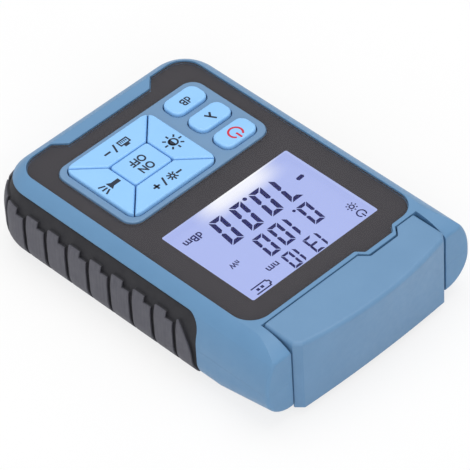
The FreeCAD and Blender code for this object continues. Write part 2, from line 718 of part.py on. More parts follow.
def grips():
    """Rubber grips round the sides and tail corners, with ribbed pads and the seat."""
    outer = form("grip_outer_form", S.grip_proud)
    band = form("grip_band_form", -S.grip_band)
    inner = form("grip_inner_form", -S.grip_thick)
    wide, count = HALF + 5, int(SIZES["groove_count"])
    pitch = (GROOVE_FIRST - GROOVE_LAST) / (count - 1)
    blocks = [pad_surround()]
    for i in range(count):
        middle = GROOVE_FIRST - pitch * i
        edge = middle - S.groove_width / 2
        blocks.append(box(f"groove_{i + 1}", -wide, wide, edge, middle + S.groove_width / 2,
                          -4, FACE + 5))
        blocks.append(box(f"step_{i + 1}", -wide, wide, edge - S.step_width, edge,
                          PAD_TOP - S.step_height, FACE + 5))
    for side in BOTH:
        for angle in CORNER_GROOVES:
            blocks.append(corner_groove(f"corner_groove_{angle}_{side}", side, angle))
    relief = cut_from("pad_relief", fuse("relief_blocks", blocks), band)
    pieces = []
    for side, name in ((-1, "left_grip"), (1, "right_grip")):
        region = grip_region(f"{name}_region", side)
        skin = common(f"{name}_skin", region, outer)
        plain = cut_from(f"{name}_plain", skin, inner)
        pieces.append(cut_from(name, plain, relief))
    seats = [cut_from(f"grip_seat_{side}", grip_region(f"seat_region_{side}", side, S.grip_gap),
                      inner) for side in BOTH]
    return pieces, fuse("grip_seat", seats)


# ---------------------------------------------------------------- face parts

def lens_panel():
    body = new_body("lens_panel")
    panel_form(body, 0, SEAT, PANEL_TOP)
    gap = S.keypad_gap
    rounded(body, -(KEYPAD_HALF + gap), KEYPAD_HALF + gap, KEYPAD_LOW - gap,
            KEYPAD_HIGH + gap, S.keypad_radius + gap, SEAT - 1, FACE + 1, cut=True)
    return body


def small_keys():
    """The three keys of the left column with their names."""
    return [("power_key", PAD_Y + KEY_PITCH), ("wavelength_key", PAD_Y),
            ("reference_key", PAD_Y - KEY_PITCH)]


def keypad_plate():
    """Frame round the keys, seated on the face wall."""
    body = new_body("keypad_plate")
    top = PANEL_TOP + S.keypad_lift
    rounded(body, -KEYPAD_HALF, KEYPAD_HALF, KEYPAD_LOW, KEYPAD_HIGH, S.keypad_radius, SEAT, top)
    soften(body, S.keypad_edge, at_height(top))
    gap = S.key_gap
    for _, y in small_keys():
        rounded(body, KEY_LEFT - gap, KEY_LEFT + S.key_width + gap,
                y - S.key_length / 2 - gap, y + S.key_length / 2 + gap,
                S.key_radius + gap, SEAT - 1, FACE + 1, cut=True)
    rounded(body, S.pad_x - S.pad_half_x - gap, S.pad_x + S.pad_half_x + gap,
            PAD_Y - S.pad_half_y - gap, PAD_Y + S.pad_half_y + gap,
            S.pad_corner + gap, SEAT - 1, FACE + 1, cut=True)
    return body


def small_key(label, y):
    body = new_body(label)
    left, right = KEY_LEFT, KEY_LEFT + S.key_width
    low, high = y - S.key_length / 2, y + S.key_length / 2
    rounded(body, left, right, low, high, S.key_radius, KEY_LOW, KEY_TOP)
    soften(body, S.key_edge, at_height(KEY_TOP))
    flange = S.key_flange
    rounded(body, left - flange, right + flange, low - flange, high + flange,
            S.key_radius, SEAT - S.flange_thick, SEAT)
    return body


def pad_sides():
    """Each direction key: how its side turns, and the pad's and centre key's reach there."""
    along = (S.pad_half_x, S.pad_half_y, S.centre_half_x, S.centre_half_y)
    across = (S.pad_half_y, S.pad_half_x, S.centre_half_y, S.centre_half_x)
    return [("plus_key", lambda u, v: (S.pad_x + u, PAD_Y + v), along),
            ("minus_key", lambda u, v: (S.pad_x - u, PAD_Y - v), along),
            ("torch_key", lambda u, v: (S.pad_x + v, PAD_Y - u), across),
            ("backlight_key", lambda u, v: (S.pad_x - v, PAD_Y + u), across)]


def pad_key(label, turn, reach):
    """One quarter of the pad round the centre key, with a flange under the plate."""
    half, out, centre_half, centre_out = reach
    body = new_body(label)
    radius, gap = S.pad_corner, S.pad_gap
    inner_u = centre_half + gap * (1 - math.sqrt(0.5))
    angle = math.pi / 4 + SIZES["pad_gap"] / 2 / SIZES["pad_corner"]
    end_u = half - radius + radius * math.cos(angle)
    end_v = out - radius + radius * math.sin(angle)
    points = [(inner_u, centre_out + gap), (end_u, end_v), (half - radius, out),
              (radius - half, out), (-end_u, end_v), (-inner_u, centre_out + gap)]
    extrude(body, "XY", KEY_LOW, KEY_TOP,
            lambda sketch: trace(sketch, [turn(size(u), size(v)) for u, v in points],
                                 {1: (radius, 1), 3: (radius, 1)}))
    soften(body, S.key_edge, at_height(KEY_TOP))
    (x0, y0), (x1, y1) = (turn(half - radius, out - radius), turn(radius - half, out + S.key_flange))
    left, right = (x0, x1) if x0.value < x1.value else (x1, x0)
    low, high = (y0, y1) if y0.value < y1.value else (y1, y0)
    block(body, left, right, low, high, SEAT - S.flange_thick, SEAT)
    return body


def centre_key():
    body = new_body("auto_off_key")
    rounded(body, S.pad_x - S.centre_half_x, S.pad_x + S.centre_half_x,
            PAD_Y - S.centre_half_y, PAD_Y + S.centre_half_y, S.centre_corner, KEY_LOW, KEY_TOP)
    soften(body, S.key_edge, at_height(KEY_TOP))
    return body


def dome_places():
    """Middle of each key, where its rubber dome stands."""
    places = [(KEY_LEFT + S.key_width / 2, y) for _, y in small_keys()]
    places.append((S.pad_x, PAD_Y))
    across = (S.pad_half_x + S.centre_half_x) / 2
    along = (S.pad_half_y + S.centre_half_y) / 2
    for side in BOTH:
        places.append((S.pad_x + across * side, PAD_Y))
        places.append((S.pad_x, PAD_Y + along * side))
    return places


def key_mat():
    """Silicone mat on the board with one dome under each key."""
    body = new_body("key_mat")
    inset = S.keypad_ledge
    block(body, -(KEYPAD_HALF - inset), KEYPAD_HALF - inset, KEYPAD_LOW + inset,
          KEYPAD_HIGH - inset, BOARD_TOP, MAT_Z)
    for x, y in dome_places():
        disc(body, x, y, S.dome_radius, MAT_Z - 0.1, DOME_TOP)
    return body


def display_parts():
    glass = new_body("display_glass")
    block(glass, -GLASS_HALF, GLASS_HALF, WINDOW_LOW - S.glass_tail, WINDOW_HIGH + S.glass_front,
          GLASS_Z, CEILING)
    light = new_body("display_backlight")
    edge = S.window_margin
    block(light, -(S.window_half + edge), S.window_half + edge, WINDOW_LOW - edge,
          WINDOW_HIGH + edge, BOARD_TOP, GLASS_Z)
    return [glass, light]


def main_board():
    body = new_body("main_board")
    block(body, -GLASS_HALF, GLASS_HALF, TAIL + S.board_tail, BAY - S.board_front,
          BOARD_Z, BOARD_TOP)
    return body


def indicator_lamp():
    """Small light-emitting diode with its light rod, from the board to the panel."""
    return cylinder("indicator_lamp", 0, LAMP_Y, BOARD_TOP, S.lamp_radius - S.lamp_gap,
                    SEAT - S.lamp_gap - BOARD_TOP)


# ---------------------------------------------------------------- cells and door

def cells():
    items = []
    low = WELL_LOW + S.contact_room
    for i in range(3):
        label = f"battery_cell_{i + 1}"
        body = new_body(label)
        reach = S.cell_length - S.nub_length
        turned(body, [(0, 0), (S.cell_radius, 0), (S.cell_radius, reach),
                      (S.nub_radius, reach), (S.nub_radius, S.cell_length), (0, S.cell_length)])
        x = S.cell_pitch * (i - 1)
        flip = i % 2 == 1
        turn = FreeCAD.Rotation(UP, 180) if flip else FreeCAD.Rotation()
        place(body, x, low + S.cell_length if flip else low, CELL_Z, turn)
        items.append(body)
    return items


def contacts():
    """Sprung strips folded to a V at both ends of the cells."""
    items = []
    for end, name in ((-1, "tail_contacts"), (1, "front_contacts")):
        strips = []
        for i in range(3):
            body = new_body(f"{name}_{i + 1}")
            wall = WELL_LOW if end < 0 else WELL_HIGH
            tip = wall - S.contact_room * end
            thick = S.contact_thick * (-end)
            low, high = CELL_Z - S.contact_half, CELL_Z + S.contact_half
            points = [(wall, low), (wall + thick, low), (tip, CELL_Z - 0.6), (tip, CELL_Z + 0.6),
                      (wall + thick, high), (wall, high), (wall, high - S.contact_half / 2),
                      (tip - thick, CELL_Z + 0.3), (tip - thick, CELL_Z - 0.3),
                      (wall, low + S.contact_half / 2)]
            middle = S.cell_pitch * (i - 1)
            half = S.contact_half
            extrude(body, "YZ", middle - half, middle + half,
                    lambda sketch, p=points: trace(sketch, p))
            strips.append(body)
        items.append(group(name, strips))
    return items


def battery_door():
    """Door with two tabs at the front and finger ribs at the tail."""
    body = new_body("battery_door")
    lap = S.door_lap - S.door_gap
    rounded(body, -(WELL_HALF + lap), WELL_HALF + lap, WELL_LOW - lap, WELL_HIGH + lap,
            S.door_radius - S.door_gap, 0, S.door_thick)
    for side in BOTH:
        middle = S.door_tab_x * side
        block(body, middle - S.door_tab_half, middle + S.door_tab_half, WELL_HIGH,
              WELL_HIGH + S.door_lap + S.door_tab, S.door_thick / 2 + S.door_gap, S.door_thick)
    for i in range(5):
        y = WELL_LOW + 3 + S.door_thick * i
        block(body, -8, 8, y, y + S.door_thick / 2, -0.01, S.door_rib, cut=True)
    return body


def case_screws():
    items = []
    for i, (x, y) in enumerate(screw_places()):
        body = new_body(f"case_screw_{i + 1}")
        seat, tip = S.head_floor, CEILING - S.screw_end_gap
        turned(body, [(0, seat - S.head_thick), (S.head_radius * 0.7, seat - S.head_thick),
                      (S.head_radius, seat - S.head_thick / 2), (S.head_radius, seat),
                      (S.screw_radius, seat), (S.screw_radius, tip - 1),
                      (S.screw_radius * 0.4, tip), (0, tip)],
               plane="XZ")
        extrude(body, "XY", seat - S.head_thick - 0.1, seat - S.head_thick / 2,
                lambda s: trace(s, cross_points(S.head_radius * 0.6, S.head_radius * 0.15)), True)
        place(body, x, y, 0)
        items.append(body)
    return group("case_screws", items)


def cross_points(reach, half):
    """Outline of a cross-shaped driver recess."""
    return [(-half, -reach), (half, -reach), (half, -half), (reach, -half), (reach, half),
            (half, half), (half, reach), (-half, reach), (-half, half), (-reach, half),
            (-reach, -half), (-half, -half)]


# ---------------------------------------------------------------- cover and hinge

def cover_plan(z_share, inset):
    """Plan of the cover at the top or bottom edge: straight sides, bevelled corners, bowed front."""
    inset = size(inset)
    rear = BAY + S.cover_gap
    bulge = S.cover_corner_back if z_share else S.cover_bulge_low
    half, corner_x = COVER_HALF - inset, COVER_HALF - S.cover_bevel - inset
    side, corner = COVER_SIDE - inset * 0.5, COVER_CORNER - inset
    if inset.value > 0:
        rear = rear - 1
    bend = (corner_x * corner_x + bulge * bulge) / (bulge * 2)
    points = [(-half, rear), (half, rear), (half, side), (corner_x, corner),
              (-corner_x, corner), (-half, side)]
    return points, {3: (bend, 1)}


def cover_loft(body, inset, low, high, cut=False):
    """Lofts the cover's plan from its top down to its lower edge."""
    sketches = []
    for share, z in ((1, high), (0, low)):
        sketch = new_sketch(body, "XY", z)
        points, arcs = cover_plan(share, inset)
        trace(sketch, points, arcs)
        sketches.append(sketch)
    kind = "SubtractiveLoft" if cut else "AdditiveLoft"
    loft = body.newObject(f"PartDesign::{kind}", "Loft")
    loft.Profile = sketches[0]
    loft.Sections = sketches[1:]
    loft.Ruled = True
    DOC.recompute()


def flip_cover():
    """Hood over the ports: top, bowed front and two side walls with hinge lugs."""
    body = new_body("flip_cover")
    cover_loft(body, 0, COVER_LOW, COVER_TOP)
    front = BAY.value + 2
    soften(body, S.cover_edge, lambda edge: at_height(COVER_TOP)(edge)
           and edge.BoundBox.YMax > front)
    cover_loft(body, S.cover_wall, COVER_LOW - 0.01, COVER_TOP - S.cover_wall + 0.2, cut=True)
    left, right = S.face_tab_left - S.notch_gap, S.face_tab_right + S.notch_gap
    edge = BAY + S.face_tab + S.notch_gap
    notch = [(left, BAY - 1), (right, BAY - 1), (right, BAY + S.cover_gap),
             (right - S.face_tab, edge), (left + S.face_tab, edge), (left, BAY + S.cover_gap)]
    outline, arcs = eased(notch, {i: S.tab_radius for i in (2, 3, 4, 5)})
    extrude(body, "XY", COVER_TOP - S.cover_wall - 1, COVER_TOP + 1,
            lambda sketch: trace(sketch, outline, arcs), cut=True)
    lug_back = HINGE_Y - S.lug_radius
    relief = [(BAY - 1, COVER_LOW - 1), (COVER_SIDE - 0.4, COVER_LOW - 1),
              (COVER_SIDE - 0.4, HINGE_Z - S.lug_radius),
              (HINGE_Y, HINGE_Z - S.lug_radius), (lug_back, HINGE_Z),
              (lug_back, HINGE_Z + 4), (BAY + 1.4, HINGE_Z + 10), (BAY - 1, HINGE_Z + 10)]
    extrude(body, "YZ", -COVER_HALF - 1, COVER_HALF + 1,
            lambda sketch: trace(sketch, relief, {3: (S.lug_radius, -1)}), cut=True)
    extrude(body, "YZ", -COVER_HALF - 1, COVER_HALF + 1,
            lambda sketch: ring(sketch, HINGE_Y, HINGE_Z, S.pin_radius + S.pin_gap), cut=True)
    return body


def hinge_pins():
    """Steel pins pressed into the cheeks and running in the cover's lugs."""
    items = []
    inner = COVER_HALF - S.cover_wall
    length = BAY_HALF + S.pin_bite - inner
    for side in BOTH:
        start = inner if side > 0 else -(inner + length)
        items.append(cylinder(f"hinge_pin_{side}", start, HINGE_Y, HINGE_Z,
                              S.pin_radius, length, "X"))
    return group("hinge_pins", items)


# ---------------------------------------------------------------- ports

def port_panel():
    """Plate on the end of the nose, with a hole for each port."""
    body = new_body("port_panel")
    block(body, -NOSE_HALF, NOSE_HALF, PLATE_BACK, NOSE_END, NOSE_LOW, NOSE_HIGH)
    gap = S.port_gap
    half, reach = S.jack_width / 2 + gap, S.jack_height / 2 + gap
    extrude(body, "XZ", PLATE_BACK - 1, NOSE_END + 1, lambda s: trace(
        s, corners(JACK_X - half, JACK_X + half, PORT_Z - reach, PORT_Z + reach)), cut=True)
    for x, radius in ((POWER_X, S.power_port_radius - S.port_flange),
                      (LASER_X, S.laser_port_radius - S.port_flange),
                      (TORCH_X, S.torch_radius)):
        extrude(body, "XZ", PLATE_BACK - 1, NOSE_END + 1,
                lambda s, x=x, r=radius: ring(s, x, PORT_Z, r + gap), cut=True)
    return body


def fibre_port(label, x, radius):
    """Turned adapter with a ferrule bore, flanged on the face of the plate."""
    body = new_body(label)
    start = PLATE_BACK - S.port_tail
    neck, tail = radius - S.port_flange, radius * 0.6
    shoulder = PLATE_BACK - S.port_flange_thick
    brim = NOSE_END + S.port_brim
    turned(body, [
        (S.ferrule_radius, start), (tail, start), (tail, shoulder), (neck, shoulder),
        (neck, NOSE_END), (radius, NOSE_END), (radius, brim), (neck, brim),
        (neck, PORT_FACE - S.port_mouth), (neck - S.port_mouth, PORT_FACE),
        (S.ferrule_radius + S.port_mouth, PORT_FACE),
        (S.ferrule_radius, PORT_FACE - S.port_mouth)])
    place(body, x, 0, PORT_Z)
    return body


def behind_ports():
    """Detector and laser module seated on the tails of their adapters."""
    start = PLATE_BACK - S.port_tail
    detector = cylinder("detector", POWER_X, start - S.detector_length, PORT_Z,
                        S.detector_radius, S.detector_length, "Y")
    laser = cylinder("laser_module", LASER_X, start - S.laser_length, PORT_Z,
                     S.laser_radius, S.laser_length, "Y")
    return [detector, laser]


def torch_lamp():
    """Round-nosed lamp for lighting the work."""
    body = new_body("torch_lamp")
    radius, back = S.torch_radius, PLATE_BACK
    start, nose = back - S.torch_length / 2, NOSE_END + S.torch_length / 4
    sketch = new_sketch(body, "XY")
    trace(sketch, [(0, start), (radius + S.torch_flange, start), (radius + S.torch_flange, back - 0.2),
                   (radius, back - 0.2), (radius, nose - radius * 0.5), (0, nose + radius * 0.5)],
          {4: (radius, 1)})
    feature = body.newObject("PartDesign::Revolution", "Revolution")
    feature.Profile = sketch
    feature.ReferenceAxis = (sketch, ["V_Axis"])
    feature.Angle = 360
    place(body, TORCH_X, 0, PORT_Z)
    DOC.recompute()
    return body


def network_jack():
    """Eight-way socket: stepped opening for the plug's body and latch."""
    body = new_body("network_jack")
    half = S.jack_width / 2
    low = PORT_Z - S.jack_height / 2
    high = low + S.jack_height
    extrude(body, "XZ", PORT_FACE - S.jack_depth, PORT_FACE,
            lambda s: trace(s, corners(JACK_X - half, JACK_X + half, low, high)))
    plug, wide, thin = S.plug_width / 2, S.latch_width / 2, S.latch_narrow / 2
    floor = low + (S.jack_height - S.plug_height - S.latch_height * 2) / 2
    step, ledge, top = (floor + S.latch_height, floor + S.latch_height * 2,
                        floor + S.latch_height * 2 + S.plug_height)
    x = JACK_X
    opening = [(x - thin, floor), (x + thin, floor), (x + thin, step), (x + wide, step),
               (x + wide, ledge), (x + plug, ledge), (x + plug, top), (x - plug, top),
               (x - plug, ledge), (x - wide, ledge), (x - wide, step), (x - thin, step)]
    extrude(body, "XZ", PORT_FACE - S.plug_depth, PORT_FACE + 1,
            lambda s: trace(s, opening), cut=True)
    return body


def jack_contacts():
    """Eight sprung wires that slope down from the socket's roof."""
    items = []
    top = PORT_Z + (S.plug_height + S.latch_height * 2) / 2
    back, front, thick = PORT_FACE - S.plug_depth, PORT_FACE - 2.5, S.contact_thick
    drop = S.contact_drop
    for i in range(8):
        body = new_body(f"jack_contact_{i + 1}")
        x = JACK_X + S.contact_pitch * (i - 3.5)
        half = S.contact_width / 2
        points = [(front, top), (front, top - thick), (back + 2, top - drop),
                  (back + 2 - thick, top - drop + thick), (front - 1, top)]
        extrude(body, "YZ", x - half, x + half, lambda s, p=points: trace(s, p))
        items.append(body)
    return group("jack_contacts", items)


# ---------------------------------------------------------------- assembly

def build():
    grip_pieces, seat = grips()
    nodes = [front_housing(seat), rear_housing(seat), *grip_pieces, lens_panel(), keypad_plate()]
    nodes += [small_key(name, y) for name, y in small_keys()]
    nodes += [pad_key(name, turn, reach) for name, turn, reach in pad_sides()]
    nodes += [centre_key(), key_mat(), *display_parts(), main_board(), indicator_lamp()]
    nodes += [*cells(), *contacts(), battery_door(), case_screws()]
    nodes += [flip_cover(), hinge_pins(), port_panel()]
    nodes += [fibre_port("optical_port", POWER_X, S.power_port_radius),
              fibre_port("laser_port", LASER_X, S.laser_port_radius)]
    nodes += [*behind_ports(), torch_lamp(), network_jack(), jack_contacts()]
    return nodes


def check_and_write(nodes):
    DOC.recompute()
    for item in DOC.Objects:
        if "Invalid" in item.State or "Error" in item.State:
            raise ValueError(f"{item.Label} failed: {item.State}")
    for node in nodes:
        if node.Shape.isNull() or not node.Shape.isValid() or not node.Shape.Solids:
            raise ValueError(f"{node.Label} has no valid solid")
    os.makedirs("parts", exist_ok=True)
    for node in nodes:
        node.Shape.exportStep(f"parts/{node.Label}.step")


check_and_write(build())
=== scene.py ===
"""Looks of the pocket optical power meter: finishes, printed panel, lit display and key signs.

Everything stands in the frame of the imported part: X across the width, Y towards the
ports, Z out of the display. Lengths are written in millimetres and scaled by MM.
"""
import math

import bmesh
import bpy
from mathutils import Euler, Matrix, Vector


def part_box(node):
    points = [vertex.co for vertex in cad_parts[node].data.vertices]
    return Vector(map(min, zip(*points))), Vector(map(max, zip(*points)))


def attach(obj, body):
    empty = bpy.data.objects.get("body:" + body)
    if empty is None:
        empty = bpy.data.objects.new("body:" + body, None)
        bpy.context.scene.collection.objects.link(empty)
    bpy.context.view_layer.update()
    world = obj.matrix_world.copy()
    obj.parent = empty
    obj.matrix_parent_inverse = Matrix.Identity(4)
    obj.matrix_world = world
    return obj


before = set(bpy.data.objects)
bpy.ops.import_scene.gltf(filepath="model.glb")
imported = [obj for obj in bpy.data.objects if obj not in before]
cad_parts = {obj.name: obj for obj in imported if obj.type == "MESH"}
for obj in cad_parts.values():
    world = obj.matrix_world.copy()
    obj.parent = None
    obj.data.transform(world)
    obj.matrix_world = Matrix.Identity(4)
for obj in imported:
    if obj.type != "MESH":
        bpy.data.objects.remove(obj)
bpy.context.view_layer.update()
MM = 0.001
# The casing's form: corners in plan, then the upper and lower rounding of its side.
PLAN_RADIUS, HIGH_RADIUS, HIGH_CENTRE, LOW_RADIUS = 11.5, 15.0, 12.0, 7.5
# Heights over that form at which a grip turns from band to pad.
BAND_HEIGHT, PAD_HEIGHT = -0.15, 0.2
# Depths under a grip's upper edge between which it turns black: painted shade of the gap at the
# casing.
PAINTED_SHADE_DEEP, PAINTED_SHADE_SHALLOW = 0.25, 0.05
# Drag lines of the grips' mould: distance apart and length.
DRAG_SPACING, DRAG_LENGTH = 0.5, 12.5
# The backlight's bright spot beside its lamp: its middle, the reach of its full light and of
# its last light across, then where it fades along.
GLOW_MIDDLE, GLOW_FULL, GLOW_GONE, GLOW_LOW, GLOW_HIGH = -4.5, 5.0, 15.0, -2.5, 3.0
# Cells: half the distance between two, and where the band starts from the middle of one.
CELL_HALF_PITCH, CELL_BAND = 5.45, 11.0
# Parts of a noise's range that are stretched to the whole: for shades and for numbers.
SHADE_LOW, SHADE_HIGH, DRIFT_LOW, DRIFT_HIGH = 0.35, 0.65, 0.3, 0.7
# Sockets of a colour Mix node.
MIX_SHARE, MIX_FIRST, MIX_SECOND, MIX_RESULT = 0, 6, 7, 2


def box_mm(node):
    """Lowest and highest corner of a CAD node, in millimetres."""
    low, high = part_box(node)
    return Vector(low) / MM, Vector(high) / MM


# ---------------------------------------------------------------- shaders

def linear(hex_colour):
    """An sRGB hex colour as a linear one."""
    channels = [int(hex_colour[i:i + 2], 16) / 255 for i in (1, 3, 5)]
    return (*[c / 12.92 if c <= 0.04045 else ((c + 0.055) / 1.055) ** 2.4
              for c in channels], 1.0)


def add(tree, kind, inputs=None, **settings):
    """Adds a node: its settings, then its inputs as values or as links."""
    node = tree.nodes.new(kind)
    for name, value in settings.items():
        setattr(node, name, value)
    for name, value in (inputs or {}).items():
        if isinstance(value, bpy.types.NodeSocket):
            tree.links.new(value, node.inputs[name])
        else:
            node.inputs[name].default_value = value
    return node


def new_material(name):
    """A named material and its empty node tree."""
    material = bpy.data.materials.new(name)
    material.use_nodes = True
    material.node_tree.nodes.clear()
    return material, material.node_tree


def show(tree, shader):
    """Joins a shader to the material's output."""
    add(tree, "ShaderNodeOutputMaterial", {"Surface": shader})


def per_metre(size_mm):
    """Texture scale that gives cells of this size over coordinates in metres."""
    return 1 / (size_mm * MM)


def place_in_part(tree):
    """Coordinates in the part's own frame, which move with the piece."""
    return add(tree, "ShaderNodeTexCoord").outputs["Object"]


def clouded(tree, place, colour, other, cloud_mm):
    """Two close shades of one pigment, drifting into each other."""
    noise = add(tree, "ShaderNodeTexNoise",
                {"Vector": place, "Scale": per_metre(cloud_mm), "Detail": 3.0})
    share = add(tree, "ShaderNodeMapRange",
                {"Value": noise.outputs["Fac"], "From Min": SHADE_LOW, "From Max": SHADE_HIGH})
    mix = add(tree, "ShaderNodeMix",
              {MIX_SHARE: share.outputs["Result"], MIX_FIRST: linear(colour),
               MIX_SECOND: linear(other)}, data_type="RGBA")
    return mix.outputs[MIX_RESULT]


def grained(tree, place, grain_mm, depth_mm, edge_mm=0.0):
    """Normal of a surface with a fine grain and, if asked, softened edges."""
    noise = add(tree, "ShaderNodeTexNoise",
                {"Vector": place, "Scale": per_metre(grain_mm), "Detail": 2.0})
    bump = add(tree, "ShaderNodeBump",
               {"Height": noise.outputs["Fac"], "Strength": 1.0, "Distance": depth_mm * MM})
    if edge_mm:
        edge = add(tree, "ShaderNodeBevel", {"Radius": edge_mm * MM}, samples=4)
        tree.links.new(edge.outputs["Normal"], bump.inputs["Normal"])
    return bump.outputs["Normal"]


def varied(tree, place, size_mm, low, high):
    """A number that drifts between two values over the surface."""
    noise = add(tree, "ShaderNodeTexNoise",
                {"Vector": place, "Scale": per_metre(size_mm), "Detail": 2.0})
    share = add(tree, "ShaderNodeMapRange",
                {"Value": noise.outputs["Fac"], "From Min": DRIFT_LOW, "From Max": DRIFT_HIGH,
                 "To Min": low, "To Max": high})
    return share.outputs["Result"]


# ---------------------------------------------------------------- materials

def moulded_plastic(name, colour, other, grain_mm, depth_mm, rough, ior=1.53, edge_mm=0.0,
                    cloud_mm=9.0):
    """Injection-moulded plastic: spark-eroded grain, even pigment, edges just broken."""
    material, tree = new_material(name)
    place = place_in_part(tree)
    surface = add(tree, "ShaderNodeBsdfPrincipled", {
        "Base Color": clouded(tree, place, colour, other, cloud_mm),
        "Roughness": varied(tree, place, grain_mm * 4, rough - 0.05, rough + 0.05),
        "Normal": grained(tree, place, grain_mm, depth_mm, edge_mm),
        "IOR": ior})
    show(tree, surface.outputs["BSDF"])
    return material


def casing_abs():
    # ABS moulded in blue with a fine spark-eroded grain: satin, with broad soft highlights.
    return moulded_plastic("blue_abs_spark_eroded", "#5f8cb4", "#628fb7", 0.35, 0.012, 0.45,
                           edge_mm=0.25)


def cover_abs():
    # The same ABS from another mould, a touch greyer.
    return moulded_plastic("blue_abs_cover", "#648db3", "#6790b6", 0.35, 0.012, 0.45,
                           edge_mm=0.25)


def keypad_abs():
    # Satin ABS frame of the keypad, darker than the keys.
    return moulded_plastic("blue_abs_keypad_frame", "#6a8fb3", "#6d92b6", 0.3, 0.008, 0.4,
                           edge_mm=0.15)


def key_abs():
    # ABS keys in light blue under a satin lacquer.
    return moulded_plastic("light_blue_abs_lacquered", "#8fc6f8", "#93c9fa", 0.25, 0.005, 0.38,
                           edge_mm=0.2)


def relief_height(tree, place):
    """How far a point of a grip stands out from the casing's plain form, in metres."""
    side_face = box_mm("front_housing")[1].x
    tail = box_mm("rear_housing")[0].y
    parts = add(tree, "ShaderNodeSeparateXYZ", {"Vector": place}).outputs
    side = add(tree, "ShaderNodeMath", {0: parts["X"]}, operation="ABSOLUTE").outputs[0]
    reach = []
    for value, limit, turn in ((side, side_face - PLAN_RADIUS, 1),
                               (parts["Y"], tail + PLAN_RADIUS, -1)):
        over = add(tree, "ShaderNodeMath", {0: value, 1: limit * MM}, operation="SUBTRACT")
        over = add(tree, "ShaderNodeMath", {0: over.outputs[0], 1: turn}, operation="MULTIPLY")
        reach.append(add(tree, "ShaderNodeMath", {0: over.outputs[0], 1: 0.0},
                         operation="MAXIMUM").outputs[0])
    plan = add(tree, "ShaderNodeVectorMath", {0: add(
        tree, "ShaderNodeCombineXYZ", {"X": reach[0], "Y": reach[1]}).outputs[0]},
        operation="LENGTH").outputs["Value"]
    heights = []
    for radius, centre, turn in ((HIGH_RADIUS, HIGH_CENTRE, 1), (LOW_RADIUS, LOW_RADIUS, -1)):
        inward = add(tree, "ShaderNodeMath", {0: plan, 1: (radius - PLAN_RADIUS) * MM},
                     operation="ADD")
        over = add(tree, "ShaderNodeMath", {0: parts["Z"], 1: centre * MM}, operation="SUBTRACT")
        over = add(tree, "ShaderNodeMath", {0: over.outputs[0], 1: turn}, operation="MULTIPLY")
        over = add(tree, "ShaderNodeMath", {0: over.outputs[0], 1: 0.0}, operation="MAXIMUM")
        bend = add(tree, "ShaderNodeVectorMath", {0: add(
            tree, "ShaderNodeCombineXYZ", {"X": inward.outputs[0], "Y": over.outputs[0]}
        ).outputs[0]}, operation="LENGTH")
        heights.append(add(tree, "ShaderNodeMath", {0: bend.outputs["Value"], 1: radius * MM},
                           operation="SUBTRACT").outputs[0])
    return add(tree, "ShaderNodeMath", {0: heights[0], 1: heights[1]},
               operation="MAXIMUM").outputs[0]


def grip_rubber():
    # Over-moulded TPE rubber: near black, matt; the raised pads are painted lighter grey, a
    # painted sheen.
    material, tree = new_material("over_moulded_tpe_rubber")
    place = place_in_part(tree)
    pads = add(tree, "ShaderNodeMapRange",
               {"Value": relief_height(tree, place), "From Min": BAND_HEIGHT * MM,
                "From Max": PAD_HEIGHT * MM}, interpolation_type="SMOOTHSTEP")
    # Drag lines from the mould run up and down the pads.
    stretched = add(tree, "ShaderNodeMapping",
                    {"Vector": place, "Scale": (1.0, 1.0, DRAG_SPACING / DRAG_LENGTH)})
    drag = add(tree, "ShaderNodeTexNoise", {"Vector": stretched.outputs["Vector"],
                                            "Scale": per_metre(DRAG_SPACING), "Detail": 2.0})
    drag_lines_and_sheen = add(tree, "ShaderNodeMix",
                 {MIX_SHARE: drag.outputs["Fac"], MIX_FIRST: linear("#4b4b54"),
                  MIX_SECOND: linear("#62626b")}, data_type="RGBA")
    # Painted sheen: the raised pads take the lighter greys and the band keeps the near black.
    pigment = add(tree, "ShaderNodeMix",
                  {MIX_SHARE: pads.outputs["Result"], MIX_FIRST: linear("#222228"),
                   MIX_SECOND: drag_lines_and_sheen.outputs[MIX_RESULT]}, data_type="RGBA")
    # Painted shade: the upper edge against the casing is painted black, standing in for the
    # shadow in the gap there.
    top = box_mm("left_grip")[1].z
    edge = add(tree, "ShaderNodeMapRange", {
        "Value": add(tree, "ShaderNodeSeparateXYZ", {"Vector": place}).outputs["Z"],
        "From Min": (top - PAINTED_SHADE_DEEP) * MM, "From Max": (top - PAINTED_SHADE_SHALLOW) * MM})
    painted_gap_shadow = add(tree, "ShaderNodeMix",
                 {MIX_SHARE: edge.outputs["Result"], MIX_FIRST: pigment.outputs[MIX_RESULT],
                  MIX_SECOND: linear("#06080c")}, data_type="RGBA")
    surface = add(tree, "ShaderNodeBsdfPrincipled", {
        "Base Color": painted_gap_shadow.outputs[MIX_RESULT],
        "Roughness": varied(tree, place, 2.0, 0.6, 0.72),
        "Normal": grained(tree, place, 0.3, 0.02, 0.2),
        "IOR": 1.5})
    show(tree, surface.outputs["BSDF"])
    return material


def clear_acrylic(name, colour="#ffffff", rough=0.02, ior=1.49):
    # Clear sheet: sharp faint reflections, and light passes to what lies under it.
    material, tree = new_material(name)
    place = place_in_part(tree)
    surface = add(tree, "ShaderNodeBsdfPrincipled", {
        "Base Color": linear(colour), "Transmission Weight": 1.0, "IOR": ior,
        "Specular Tint": linear("#8c8c8c"),
        "Roughness": varied(tree, place, 12.0, rough, rough + 0.01)})
    open_way = add(tree, "ShaderNodeBsdfTransparent", {"Color": linear(colour)})
    path = add(tree, "ShaderNodeLightPath")
    either = add(tree, "ShaderNodeMath", {0: path.outputs["Is Shadow Ray"],
                                          1: path.outputs["Is Diffuse Ray"]},
                 operation="MAXIMUM")
    mix = add(tree, "ShaderNodeMixShader", {0: either.outputs[0],
                                            1: surface.outputs["BSDF"],
                                            2: open_way.outputs["BSDF"]})
    show(tree, mix.outputs["Shader"])
    return material


